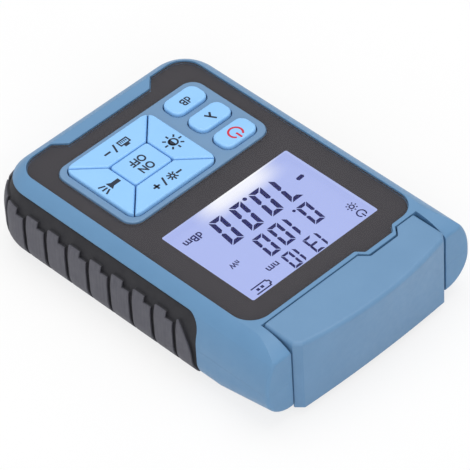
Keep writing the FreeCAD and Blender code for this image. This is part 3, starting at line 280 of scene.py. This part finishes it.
def panel_ink():
    # Screen-printed ink on the back of the panel: dark, even, faintly mottled.
    material, tree = new_material("screen_printed_dark_ink")
    place = place_in_part(tree)
    surface = add(tree, "ShaderNodeBsdfPrincipled", {
        "Base Color": clouded(tree, place, "#403e42", "#424044", 14.0),
        "Roughness": varied(tree, place, 1.0, 0.5, 0.6), "Specular IOR Level": 0.05})
    show(tree, surface.outputs["BSDF"])
    return material


def lit_diffuser():
    # Opal light guide behind the display: even violet-blue light, brightest at its lamp edge.
    material, tree = new_material("opal_light_guide")
    place = place_in_part(tree)
    parts = add(tree, "ShaderNodeSeparateXYZ", {"Vector": place})
    rise = add(tree, "ShaderNodeMapRange",
               {"Value": parts.outputs["Y"], "From Min": GLOW_LOW * MM,
                "From Max": GLOW_HIGH * MM, "To Min": 1.0, "To Max": 0.0},
               interpolation_type="SMOOTHSTEP")
    aside = add(tree, "ShaderNodeMath", {0: parts.outputs["X"], 1: GLOW_MIDDLE * MM},
                operation="SUBTRACT")
    aside = add(tree, "ShaderNodeMath", {0: aside.outputs[0]}, operation="ABSOLUTE")
    middle = add(tree, "ShaderNodeMapRange",
                 {"Value": aside.outputs[0], "From Min": GLOW_FULL * MM,
                  "From Max": GLOW_GONE * MM,
                  "To Min": 1.0, "To Max": 0.0}, interpolation_type="SMOOTHSTEP")
    glow = add(tree, "ShaderNodeMath", {0: rise.outputs["Result"], 1: middle.outputs["Result"]},
               operation="MULTIPLY")
    light = add(tree, "ShaderNodeMix",
                {MIX_SHARE: glow.outputs[0], MIX_FIRST: linear("#afbcee"),
                 MIX_SECOND: linear("#fbfcff")}, data_type="RGBA")
    surface = add(tree, "ShaderNodeBsdfPrincipled", {
        "Base Color": linear("#20222c"), "Roughness": varied(tree, place, 5.0, 0.5, 0.6),
        "Specular IOR Level": 0.1, "Emission Color": light.outputs[MIX_RESULT],
        "Emission Strength": 1.0})
    show(tree, surface.outputs["BSDF"])
    return material


def display_crystal():
    # Liquid crystal segments switched on: deep blue, flat, seen through the front glass.
    material, tree = new_material("liquid_crystal_on")
    place = place_in_part(tree)
    surface = add(tree, "ShaderNodeBsdfPrincipled", {
        "Base Color": clouded(tree, place, "#0b0e54", "#0d115a", 2.0),
        "Roughness": varied(tree, place, 2.0, 0.55, 0.65), "Specular IOR Level": 0.05})
    show(tree, surface.outputs["BSDF"])
    return material


def pad_print(name, colour, other):
    # Pad-printed ink on the keys: thin and matt, a little uneven.
    material, tree = new_material(name)
    place = place_in_part(tree)
    surface = add(tree, "ShaderNodeBsdfPrincipled", {
        "Base Color": clouded(tree, place, colour, other, 0.8),
        "Roughness": varied(tree, place, 0.6, 0.5, 0.62),
        "Normal": grained(tree, place, 0.2, 0.002)})
    show(tree, surface.outputs["BSDF"])
    return material


def silicone_mat():
    # Translucent silicone of the key mat: pale, soft, slightly greasy.
    return moulded_plastic("pale_silicone", "#c3c6ca", "#cacdd0", 0.4, 0.01, 0.55, ior=1.41)


def board_laminate():
    # FR4 board under green solder mask, with the weave showing faintly.
    material, tree = new_material("fr4_green_solder_mask")
    place = place_in_part(tree)
    weave = add(tree, "ShaderNodeTexWave",
                {"Vector": place, "Scale": per_metre(0.8) / (2 * math.pi), "Distortion": 1.5},
                bands_direction="DIAGONAL")
    tint = add(tree, "ShaderNodeMix",
               {MIX_SHARE: weave.outputs["Fac"], MIX_FIRST: linear("#1d5b34"),
                MIX_SECOND: linear("#226639")}, data_type="RGBA")
    surface = add(tree, "ShaderNodeBsdfPrincipled", {
        "Base Color": tint.outputs[MIX_RESULT], "Roughness": varied(tree, place, 2.0, 0.3, 0.4),
        "Normal": grained(tree, place, 0.8, 0.01)})
    show(tree, surface.outputs["BSDF"])
    return material


def worked_metal(name, colour, other, rough, scratch_mm):
    """Bare or plated metal with the fine lines that its working left."""
    material, tree = new_material(name)
    place = place_in_part(tree)
    surface = add(tree, "ShaderNodeBsdfPrincipled", {
        "Base Color": clouded(tree, place, colour, other, 1.5), "Metallic": 1.0,
        "Roughness": varied(tree, place, scratch_mm, rough - 0.06, rough + 0.06),
        "Normal": grained(tree, place, scratch_mm, 0.004)})
    show(tree, surface.outputs["BSDF"])
    return material


def nickel_plate():
    # Nickel plate over turned brass: bright and warm grey.
    return worked_metal("nickel_plated_brass", "#c9c6bf", "#d2cfc8", 0.2, 0.3)


def zinc_steel():
    # Zinc-plated steel of the screws and pins: cool grey, slightly cloudy.
    return worked_metal("zinc_plated_steel", "#a9acb0", "#b6b9bd", 0.32, 0.25)


def spring_steel():
    # Nickel-plated spring strip of the cell contacts.
    return worked_metal("nickel_plated_spring_steel", "#c4c4c2", "#cecdca", 0.26, 0.2)


def gilt_bronze():
    # Gold flash over phosphor bronze on the socket's wires.
    return worked_metal("gold_flashed_bronze", "#d9b25c", "#e2bd6a", 0.22, 0.15)


def plated_can():
    # Dull plated cans of the detector and the laser.
    return worked_metal("tin_plated_can", "#a8a494", "#b3af9f", 0.35, 0.3)


def cell_jacket():
    # Printed shrink jacket of a cell: dark body, a copper-coloured band at the plus end.
    material, tree = new_material("printed_cell_jacket")
    place = place_in_part(tree)
    low, high = box_mm("battery_cell_1")
    parts = add(tree, "ShaderNodeSeparateXYZ", {"Vector": place})
    side = add(tree, "ShaderNodeMath", {0: parts.outputs["X"]}, operation="ABSOLUTE")
    # The middle cell lies the other way round from its neighbours.
    outer = add(tree, "ShaderNodeMath", {0: side.outputs[0], 1: CELL_HALF_PITCH * MM},
                operation="GREATER_THAN")
    turn = add(tree, "ShaderNodeMath", {0: outer.outputs[0], 1: 2.0, 2: -1.0},
               operation="MULTIPLY_ADD")
    along = add(tree, "ShaderNodeMath",
                {0: parts.outputs["Y"], 1: (low.y + high.y) / 2 * MM}, operation="SUBTRACT")
    plus = add(tree, "ShaderNodeMath", {0: along.outputs[0], 1: turn.outputs[0]},
               operation="MULTIPLY")
    band = add(tree, "ShaderNodeMath", {0: plus.outputs[0], 1: CELL_BAND * MM},
               operation="GREATER_THAN")
    pigment = add(tree, "ShaderNodeMix", {
        MIX_SHARE: band.outputs[0],
        MIX_FIRST: clouded(tree, place, "#2b2d33", "#33353c", 4.0),
        MIX_SECOND: clouded(tree, place, "#b0764a", "#b87e51", 4.0)}, data_type="RGBA")
    surface = add(tree, "ShaderNodeBsdfPrincipled", {
        "Base Color": pigment.outputs[MIX_RESULT],
        "Metallic": 0.4, "Roughness": varied(tree, place, 1.5, 0.28, 0.36),
        "Normal": grained(tree, place, 0.6, 0.004)})
    show(tree, surface.outputs["BSDF"])
    return material


def port_abs():
    # Dark grey ABS of the port plate, with a coarser grain than the casing.
    return moulded_plastic("dark_grey_abs", "#2c2e33", "#303238", 0.4, 0.015, 0.5, edge_mm=0.15)


def jack_nylon():
    # Glass-filled black nylon of the socket: dull, with faint flow marks.
    return moulded_plastic("black_glass_filled_nylon", "#17181a", "#1e1f22", 0.5, 0.02, 0.48,
                           cloud_mm=3.0)


def lamp_resin():
    # Diffusing epoxy of a light-emitting diode: milky, glossy, a little light passes through.
    material, tree = new_material("milky_led_epoxy")
    place = place_in_part(tree)
    surface = add(tree, "ShaderNodeBsdfPrincipled", {
        "Base Color": clouded(tree, place, "#e3e7ea", "#edf0f2", 2.0),
        "Transmission Weight": 0.3, "IOR": 1.54,
        "Roughness": varied(tree, place, 3.0, 0.12, 0.18)})
    show(tree, surface.outputs["BSDF"])
    return material


# ---------------------------------------------------------------- making meshes

def finish_mesh(name, mesh_data, material, body):
    """Links a bmesh as a piece that rides on a body and takes its finish from a slot."""
    mesh = bpy.data.meshes.new(name)
    bmesh.ops.recalc_face_normals(mesh_data, faces=mesh_data.faces)
    mesh_data.to_mesh(mesh)
    mesh_data.free()
    mesh.materials.append(material)
    piece = bpy.data.objects.new(name, mesh)
    bpy.context.collection.objects.link(piece)
    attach(piece, body)


def plate(mesh_data, outline, bottom, top, holes=()):
    """Adds a flat plate in millimetres, with holes, between two heights."""
    loops = []
    for points in (outline, *holes):
        verts = [mesh_data.verts.new(Vector((x, y, bottom)) * MM) for x, y in points]
        edges = [mesh_data.edges.new((verts[i], verts[(i + 1) % len(verts)]))
                 for i in range(len(verts))]
        loops.append(edges)
    flat = [edge for edges in loops for edge in edges]
    filled = bmesh.ops.triangle_fill(mesh_data, use_beauty=True, edges=flat)
    faces = [item for item in filled["geom"] if isinstance(item, bmesh.types.BMFace)]
    raised = bmesh.ops.extrude_face_region(mesh_data, geom=faces, use_keep_orig=True)
    lifted = [item for item in raised["geom"] if isinstance(item, bmesh.types.BMVert)]
    bmesh.ops.translate(mesh_data, vec=Vector((0, 0, top - bottom)) * MM, verts=lifted)


def arc_points(x, y, radius, start, end, count=8):
    """Points on an arc, angles in degrees."""
    turn = [math.radians(start + (end - start) * i / count) for i in range(count + 1)]
    return [(x + radius * math.cos(a), y + radius * math.sin(a)) for a in turn]


def rounded_box(left, right, low, high, radius):
    """Outline of a rectangle with round corners."""
    points = []
    for x, y, start in ((right - radius, high - radius, 0), (left + radius, high - radius, 90),
                        (left + radius, low + radius, 180), (right - radius, low + radius, 270)):
        points += arc_points(x, y, radius, start, start + 90, 6)
    return points


def bar(x0, y0, x1, y1, width):
    """Outline of a straight stroke."""
    along = Vector((x1 - x0, y1 - y0)).normalized()
    side = Vector((-along.y, along.x)) * width / 2
    return [(x0 + side.x, y0 + side.y), (x0 - side.x, y0 - side.y),
            (x1 - side.x, y1 - side.y), (x1 + side.x, y1 + side.y)]


def ring_stroke(mesh_data, x, y, radius, width, start, end, bottom, top):
    """A stroke along an arc."""
    outer = arc_points(x, y, radius + width / 2, start, end, 20)
    inner = arc_points(x, y, radius - width / 2, end, start, 20)
    if abs(end - start) >= 360:
        plate(mesh_data, outer[:-1], bottom, top, [inner[:-1]])
    else:
        plate(mesh_data, outer + inner, bottom, top)


# Height of a capital of the plain face, as a share of its size.
CAPITAL = 0.7


def words(mesh_data, text, x, y, height, bottom, top, bold, narrow=1.0):
    """Adds upright letters of a plain face, centred on a point; height is that of a capital."""
    curve = bpy.data.curves.new("letters", "FONT")
    curve.body = text
    curve.align_x = "CENTER"
    curve.align_y = "CENTER"
    curve.size = height / CAPITAL * MM
    curve.offset = bold * MM
    curve.extrude = (top - bottom) / 2 * MM
    holder = bpy.data.objects.new("letters", curve)
    bpy.context.collection.objects.link(holder)
    mesh = bpy.data.meshes.new_from_object(
        holder.evaluated_get(bpy.context.evaluated_depsgraph_get()))
    move = Vector((x, y, (bottom + top) / 2)) * MM
    for vertex in mesh.vertices:
        vertex.co.x *= narrow
        vertex.co += move
    mesh_data.from_mesh(mesh)
    bpy.data.objects.remove(holder)
    bpy.data.curves.remove(curve)
    bpy.data.meshes.remove(mesh)


# ---------------------------------------------------------------- display

# The opening in the print, then the casing's own: half its width, its two ends, and how far
# past them the liner's back and face stand.
WINDOW_LOW, WINDOW_HIGH = Vector((-20.15, -1.75)), Vector((20.0, 27.85))
WALL_HALF, WALL_LOW, WALL_HIGH, LINER_BACK, LINER_FACE = 20.0, -1.75, 27.85, 0.78, 0.7
# Film and crystal: heights over the underside of the display's glass.
FILM_INSET, FILM_LOW, FILM_HIGH, CRYSTAL_LOW, CRYSTAL_HIGH = 0.1, 0.01, 0.03, 0.05, 0.09
# Room kept between a laid-in piece and what it lies against.
SEAM = 0.02
# Shares of a stroke: the gap at a bar's ends and the radius of a point.
GAP_SHARE, POINT_SHARE = 0.18, 0.47
# The bars that make each digit, clockwise from the head, and the middle bar last.
SEGMENTS = {"0": "abcdef", "1": "bc", "3": "abcdg", "7": "abc"}


def segment_outline(name, width, height, stroke, gap):
    """One bar of a seven-segment digit: mitred at the corners, pointed at the middle."""
    middle = height / 2
    if name == "g":
        return [(gap, middle), (gap + stroke / 2, middle + stroke / 2),
                (width - gap - stroke / 2, middle + stroke / 2), (width - gap, middle),
                (width - gap - stroke / 2, middle - stroke / 2),
                (gap + stroke / 2, middle - stroke / 2)]
    if name in "ad":
        points = [(gap, height), (width - gap, height), (width - gap - stroke, height - stroke),
                  (gap + stroke, height - stroke)]
    else:
        end = middle + gap / 2
        points = [(0, height - gap), (stroke, height - gap - stroke),
                  (stroke, end + stroke * 0.5), (stroke * 0.4, end), (0, end + stroke * 0.3)]
    if name in "bc":
        points = [(width - x, y) for x, y in points]
    if name in "cde":
        points = [(x, height - y) for x, y in points]
    return points


def readout(mesh_data, text, x, y, size, pitch, stroke, slant, bottom, top):
    """A row of slanted seven-segment digits; a round point stands between two digits."""
    width, height = size
    for character in text:
        if character == ".":
            dot = x - (pitch - width) / 2 + stroke * 0.1
            plate(mesh_data, arc_points(dot, y + stroke * 0.35, stroke * POINT_SHARE, 0, 360,
                                        16)[:-1], bottom, top)
            continue
        for name in SEGMENTS[character]:
            outline = segment_outline(name, width, height, stroke, stroke * GAP_SHARE)
            plate(mesh_data, [(x + u + slant * v, y + v) for u, v in outline], bottom, top)
        x += pitch


def lit_display(crystal, light):
    """The lit film with digits, units and signs over it, in the display's glass."""
    low, high = box_mm("display_glass")
    bottom, top = low.z + CRYSTAL_LOW, low.z + CRYSTAL_HIGH
    mesh_data = bmesh.new()
    plate(mesh_data, rounded_box(low.x + FILM_INSET, high.x - FILM_INSET, low.y + FILM_INSET,
                                 high.y - FILM_INSET, 0.3),
          low.z + FILM_LOW, low.z + FILM_HIGH)
    finish_mesh("display_film", mesh_data, light, "housing")
    mesh_data = bmesh.new()
    # The minus before the level.
    plate(mesh_data, [(-18.9, 5.15), (-18.6, 5.65), (-16.9, 5.75), (-16.6, 5.15),
                      (-16.9, 4.65), (-18.6, 4.55)], bottom, top)
    readout(mesh_data, "70.00", -15.55, 0.5, size=(3.9, 9.3), pitch=6.4, stroke=1.2,
            slant=0.134, bottom=bottom, top=top)
    words(mesh_data, "dBm", 13.4, 1.7, 2.1, bottom, top, bold=0.06)
    finish_mesh("level_readout", mesh_data, crystal, "housing")
    mesh_data = bmesh.new()
    readout(mesh_data, "0.100", -12.9, 11.7, size=(3.35, 7.15), pitch=4.75, stroke=0.92,
            slant=0.1, bottom=bottom, top=top)
    words(mesh_data, "nW", 12.8, 14.4, 1.5, bottom, top, bold=0.05, narrow=0.85)
    finish_mesh("linear_readout", mesh_data, crystal, "housing")
    mesh_data = bmesh.new()
    readout(mesh_data, "1310", -9.1, 20.3, size=(2.65, 5.3), pitch=3.5, stroke=0.66,
            slant=0.08, bottom=bottom, top=top)
    words(mesh_data, "nm", 7.35, 21.35, 2.0, bottom, top, bold=0.05)
    finish_mesh("wavelength_readout", mesh_data, crystal, "housing")
    mesh_data = bmesh.new()
    power_sign(mesh_data, -18.7, 23.9, radius=1.12, stroke=0.36, bottom=bottom, top=top)
    sun_sign(mesh_data, -18.7, 20.75, radius=0.58, reach=1.42, stroke=0.34, bottom=bottom,
             top=top)
    battery_sign(mesh_data, 11.2, 23.05, bottom, top)
    finish_mesh("display_signs", mesh_data, crystal, "housing")


def window_liner(light):
    """White liner of the casing's window between glass and panel, lit by the display."""
    _, glass = box_mm("display_glass")
    panel, _ = box_mm("lens_panel")
    mesh_data = bmesh.new()
    outer, inner = [rounded_box(-WALL_HALF - reach, WALL_HALF + reach, WALL_LOW - reach,
                                WALL_HIGH + reach, 0.1)
                    for reach in (LINER_BACK, LINER_FACE)]
    plate(mesh_data, outer, glass.z + SEAM, panel.z - SEAM, [inner])
    finish_mesh("window_liner", mesh_data, light, "housing")


def power_sign(mesh_data, x, y, radius, stroke, bottom, top):
    """A ring open at its head, with an upright stroke in the opening."""
    ring_stroke(mesh_data, x, y, radius, stroke, 125, 415, bottom, top)
    plate(mesh_data, bar(x, y + radius * 0.1, x, y + radius * 1.25, stroke), bottom, top)


def sun_sign(mesh_data, x, y, radius, reach, stroke, bottom, top, half_filled=False):
    """A ring with eight rays."""
    ring_stroke(mesh_data, x, y, radius, stroke, 0, 360, bottom, top)
    if half_filled:
        plate(mesh_data, arc_points(x, y, radius, -90, 90, 12), bottom, top)
    for i in range(8):
        turn = math.radians(45 * i)
        near = radius + stroke * 1.2
        plate(mesh_data, bar(x + near * math.cos(turn), y + near * math.sin(turn),
                             x + reach * math.cos(turn), y + reach * math.sin(turn), stroke),
              bottom, top)


def battery_sign(mesh_data, x, y, bottom, top):
    """A cell's outline with its nub, open at the other end, and two squares of charge."""
    width, height, stroke = 5.0, 2.1, 0.36
    for x0, y0, x1, y1 in ((0.4, 0, width, 0), (0.4, height, width, height),
                           (0.5, 0, 0.5, 0.55), (0.5, height, 0.5, height - 0.55),
                           (0, 0.5, 0, height - 0.5), (0, 0.55, 0.6, 0.55),
                           (0, height - 0.55, 0.6, height - 0.55)):
        plate(mesh_data, bar(x + x0, y + y0, x + x1, y + y1, stroke), bottom, top)
    for middle in (2.4, 3.7):
        plate(mesh_data, bar(x + middle - 0.4, y + height / 2, x + middle + 0.4, y + height / 2,
                             0.75), bottom, top)


# ---------------------------------------------------------------- panel print and key signs

def panel_print(ink):
    """The dark print on the back of the clear panel, open at the display and the keypad."""
    low, high = box_mm("lens_panel")
    plate_low, plate_high = box_mm("keypad_plate")
    inset, clear = 0.05, 0.22
    radius, keypad_radius, window_radius = 5.5 - inset, 3.6 + clear, 0.5
    ink_low, ink_high = 0.02, 0.07
    tab_left, tab_right, tab_slope, tab_reach = -17.9, -6.1, 1.6, 1.9
    notch, notch_depth = 16.1, 3.0
    half, bottom, top = high.x - inset, low.y + inset, high.y - tab_reach - inset
    outline = [(-notch, bottom), (-(notch - notch_depth), bottom + notch_depth),
               (notch - notch_depth, bottom + notch_depth), (notch, bottom)]
    outline += arc_points(half - radius, bottom + radius, radius, 270, 360)
    outline += arc_points(half - radius, top - radius, radius, 0, 90)
    outline += [(tab_right, top), (tab_right - tab_slope, top + tab_reach),
                (tab_left + tab_slope, top + tab_reach), (tab_left, top)]
    outline += arc_points(-half + radius, top - radius, radius, 90, 180)
    outline += arc_points(-half + radius, bottom + radius, radius, 180, 270)
    window = rounded_box(WINDOW_LOW.x, WINDOW_HIGH.x, WINDOW_LOW.y, WINDOW_HIGH.y,
                         window_radius)
    keypad = rounded_box(plate_low.x - clear, plate_high.x + clear, plate_low.y - clear,
                         plate_high.y + clear, keypad_radius)
    mesh_data = bmesh.new()
    plate(mesh_data, outline, low.z + ink_low, low.z + ink_high, [window, keypad])
    finish_mesh("panel_print", mesh_data, ink, "housing")


# How far a key's ink goes into the key and stands out of it, and its usual stroke.
SIGN_DEPTH, SIGN_RISE, SIGN_STROKE = 0.03, 0.015, 0.55


def key_sign(node, ink, draw):
    """A printed sign on a key's top, riding on that key."""
    low, high = box_mm(node)
    mesh_data = bmesh.new()
    draw(mesh_data, (low.x + high.x) / 2, (low.y + high.y) / 2, high.z - SIGN_DEPTH,
         high.z + SIGN_RISE)
    finish_mesh(f"{node}_sign", mesh_data, ink, f"{node}_body")


def draw_power(mesh_data, x, y, bottom, top):
    """The sign for on and standby."""
    power_sign(mesh_data, x, y + 0.35, radius=1.75, stroke=SIGN_STROKE, bottom=bottom,
               top=top)


def draw_wavelength(mesh_data, x, y, bottom, top):
    """A Greek lambda in two strokes."""
    y += 0.45
    plate(mesh_data, bar(x - 0.65, y + 1.35, x + 0.9, y - 1.35, SIGN_STROKE), bottom, top)
    plate(mesh_data, bar(x + 0.1, y - 0.1, x - 0.8, y - 1.35, SIGN_STROKE), bottom, top)


def draw_decibel(mesh_data, x, y, bottom, top):
    """The unit of level."""
    words(mesh_data, "dB", x + 0.2, y + 0.45, 2.25, bottom, top, bold=0.07, narrow=0.86)


def slash_and_sign(mesh_data, x, y, bottom, top):
    """A slash, then the level stroke that a plus and a minus share."""
    plate(mesh_data, bar(x + 0.2, y - 1.35, x + 1.2, y + 1.35, 0.5), bottom, top)
    plate(mesh_data, bar(x + 2.15, y, x + 4.05, y, SIGN_STROKE), bottom, top)


def draw_plus(mesh_data, x, y, bottom, top):
    """A beam with its burst, a slash and a plus."""
    burst, near, ray, short_ray, ray_stroke = x - 1.9, 0.3, 1.45, 0.9, 0.42
    plate(mesh_data, bar(burst - 2.9, y, burst - 1.2, y, SIGN_STROKE), bottom, top)
    for i in range(8):
        turn = math.radians(45 * i)
        # The ray on the beam's side stops short of it.
        far = short_ray if i == 4 else ray
        plate(mesh_data, bar(burst + near * math.cos(turn), y + near * math.sin(turn),
                             burst + far * math.cos(turn), y + far * math.sin(turn),
                             ray_stroke), bottom, top)
    slash_and_sign(mesh_data, x, y, bottom, top)
    plate(mesh_data, bar(x + 3.1, y - 0.95, x + 3.1, y + 0.95, SIGN_STROKE), bottom, top)


def draw_minus(mesh_data, x, y, bottom, top):
    """A network plug, a slash and a minus."""
    left, y = x - 2.3, y + 0.45
    plate(mesh_data, [(left - 1.6, y - 1.3), (left + 1.6, y - 1.3), (left + 1.6, y + 0.65),
                      (left + 0.75, y + 0.65), (left + 0.75, y + 1.35), (left - 0.75, y + 1.35),
                      (left - 0.75, y + 0.65), (left - 1.6, y + 0.65)], bottom, top,
          [[(left - 1.2, y - 0.9), (left + 1.2, y - 0.9), (left + 1.2, y + 0.25),
            (left - 1.2, y + 0.25)]])
    for i in range(4):
        wire = left - 0.78 + 0.52 * i
        plate(mesh_data, bar(wire, y - 0.8, wire, y - 0.1, 0.28), bottom, top)
    slash_and_sign(mesh_data, x, y, bottom, top)


def draw_lamp(mesh_data, x, y, bottom, top):
    """A hand lamp with three rays."""
    y += 0.35
    plate(mesh_data, [(x - 2.8, y - 0.6), (x - 0.6, y - 0.6), (x + 0.4, y - 1.25),
                      (x + 0.4, y + 1.25), (x - 0.6, y + 0.6), (x - 2.8, y + 0.6)],
          bottom, top)
    for i in range(3):
        lean = (i - 1) * 0.8
        plate(mesh_data, bar(x + 0.95, y + lean * 0.9, x + 2.6, y + lean * 1.8, 0.48), bottom,
              top)


def draw_sun(mesh_data, x, y, bottom, top):
    """The sign for brightness."""
    sun_sign(mesh_data, x, y + 0.3, radius=1.1, reach=2.6, stroke=0.48, bottom=bottom,
             top=top, half_filled=True)


def draw_on_off(mesh_data, x, y, bottom, top):
    """Two short words, one over the other."""
    words(mesh_data, "ON", x, y + 1.8, 2.2, bottom, top, bold=0.1, narrow=0.84)
    words(mesh_data, "OFF", x, y - 1.3, 2.2, bottom, top, bold=0.1, narrow=0.84)


KEY_SIGNS = {"power_key": draw_power, "wavelength_key": draw_wavelength,
             "reference_key": draw_decibel, "plus_key": draw_plus, "minus_key": draw_minus,
             "torch_key": draw_lamp, "backlight_key": draw_sun, "auto_off_key": draw_on_off}


def key_signs(dark_ink, red_ink):
    """Every key's sign, red on the power key alone."""
    for node, draw in KEY_SIGNS.items():
        key_sign(node, red_ink if node == "power_key" else dark_ink, draw)


# ---------------------------------------------------------------- stage

# The floor: its own share of light where it is seen, half its side in metres, and how far it
# lies under the part.
FLOOR_GLOW, FLOOR_REACH, FLOOR_DROP = 0.75, 4.0, 0.05


def studio_floor():
    # Seamless paper sweep: white, matt, with a barely visible tooth.
    material, tree = new_material("white_paper_sweep")
    place = place_in_part(tree)
    paper = add(tree, "ShaderNodeBsdfDiffuse", {
        "Color": clouded(tree, place, "#f4f4f4", "#f6f6f6", 40.0), "Roughness": 0.8})
    glow = add(tree, "ShaderNodeEmission", {"Color": linear("#ffffff"), "Strength": 1.0})
    path = add(tree, "ShaderNodeLightPath")
    seen = add(tree, "ShaderNodeMath", {0: path.outputs["Is Camera Ray"],
                                        1: path.outputs["Is Glossy Ray"]}, operation="MAXIMUM")
    share = add(tree, "ShaderNodeMath", {0: seen.outputs[0], 1: FLOOR_GLOW},
                operation="MULTIPLY")
    mix = add(tree, "ShaderNodeMixShader", {0: share.outputs[0], 1: paper.outputs["BSDF"],
                                            2: glow.outputs["Emission"]})
    show(tree, mix.outputs["Shader"])
    mesh = bpy.data.meshes.new("floor")
    mesh.from_pydata([(-FLOOR_REACH, -FLOOR_REACH, 0), (FLOOR_REACH, -FLOOR_REACH, 0),
                      (FLOOR_REACH, FLOOR_REACH, 0), (-FLOOR_REACH, FLOOR_REACH, 0)],
                     [], [(0, 1, 2, 3)])
    mesh.materials.append(material)
    floor = bpy.data.objects.new("floor", mesh)
    floor.location.z = -FLOOR_DROP * MM
    bpy.context.collection.objects.link(floor)


def soft_light(name, place, power, size):
    """A square softbox aimed at the part; place and size are in metres, power in watts."""
    lamp = bpy.data.lights.new(name, "AREA")
    lamp.energy, lamp.shape, lamp.size = power, "SQUARE", size
    holder = bpy.data.objects.new(name, lamp)
    holder.location = place
    holder.rotation_euler = (-Vector(place)).to_track_quat("-Z", "Y").to_euler()
    bpy.context.collection.objects.link(holder)


def studio():
    """An even white room and two softboxes."""
    world = bpy.data.worlds.new("studio")
    world.use_nodes = True
    tree = world.node_tree
    tree.nodes.clear()
    room = add(tree, "ShaderNodeBackground", {"Color": linear("#ffffff"), "Strength": 0.62})
    add(tree, "ShaderNodeOutputWorld", {"Surface": room.outputs["Background"]})
    bpy.context.scene.world = world
    soft_light("overhead_softbox", (-0.15, -0.1, 1.1), power=5.6, size=0.9)
    soft_light("port_side_softbox", (0.75, 0.85, 0.75), power=4.0, size=0.7)


# Where the camera stands, and how it is turned, in degrees.
CAMERA_PLACE, CAMERA_TURN = (440.0, 484.15, 634.7), (46.253, 2.509, 135.269)


def camera():
    """A long lens high over the port end, on the side where X grows."""
    view = bpy.data.cameras.new("camera")
    view.lens, view.sensor_width = 300.0, 36.0
    view.clip_start, view.clip_end = 0.05, 20.0
    holder = bpy.data.objects.new("camera", view)
    holder.location = Vector(CAMERA_PLACE) * MM
    holder.rotation_euler = Euler([math.radians(angle) for angle in CAMERA_TURN], "XYZ")
    bpy.context.collection.objects.link(holder)
    bpy.context.scene.camera = holder
    bpy.context.scene.view_settings.view_transform = "Standard"


# ---------------------------------------------------------------- dressing the part

def dress(nodes, material):
    """Gives CAD nodes a finish by their material slots."""
    for name in nodes:
        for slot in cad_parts[name].material_slots:
            slot.material = material


def dress_nodes(light):
    """Every CAD node's finish."""
    dress(("display_backlight",), light)
    dress(("front_housing", "rear_housing", "battery_door"), casing_abs())
    dress(("flip_cover",), cover_abs())
    dress(("left_grip", "right_grip"), grip_rubber())
    dress(("lens_panel",), clear_acrylic("clear_cast_acrylic"))
    dress(("keypad_plate",), keypad_abs())
    dress(KEY_SIGNS, key_abs())
    dress(("key_mat",), silicone_mat())
    dress(("display_glass",), clear_acrylic("display_cell_glass", "#f2f3ff", 0.03, 1.3))
    dress(("main_board",), board_laminate())
    dress(("indicator_lamp", "torch_lamp"), lamp_resin())
    dress(("battery_cell_1", "battery_cell_2", "battery_cell_3"), cell_jacket())
    dress(("tail_contacts", "front_contacts"), spring_steel())
    dress(("case_screws", "hinge_pins"), zinc_steel())
    dress(("port_panel",), port_abs())
    dress(("optical_port", "laser_port"), nickel_plate())
    dress(("detector", "laser_module"), plated_can())
    dress(("network_jack",), jack_nylon())
    dress(("jack_contacts",), gilt_bronze())


def main():
    """Dresses the part, adds its print, display and signs, and sets the stage."""
    light = lit_diffuser()
    dress_nodes(light)
    panel_print(panel_ink())
    lit_display(display_crystal(), light)
    window_liner(light)
    key_signs(pad_print("pad_printed_blue_black", "#0b1d33", "#0f2138"),
              pad_print("pad_printed_red", "#c5203a", "#cb2641"))
    studio_floor()
    studio()
    camera()


main()
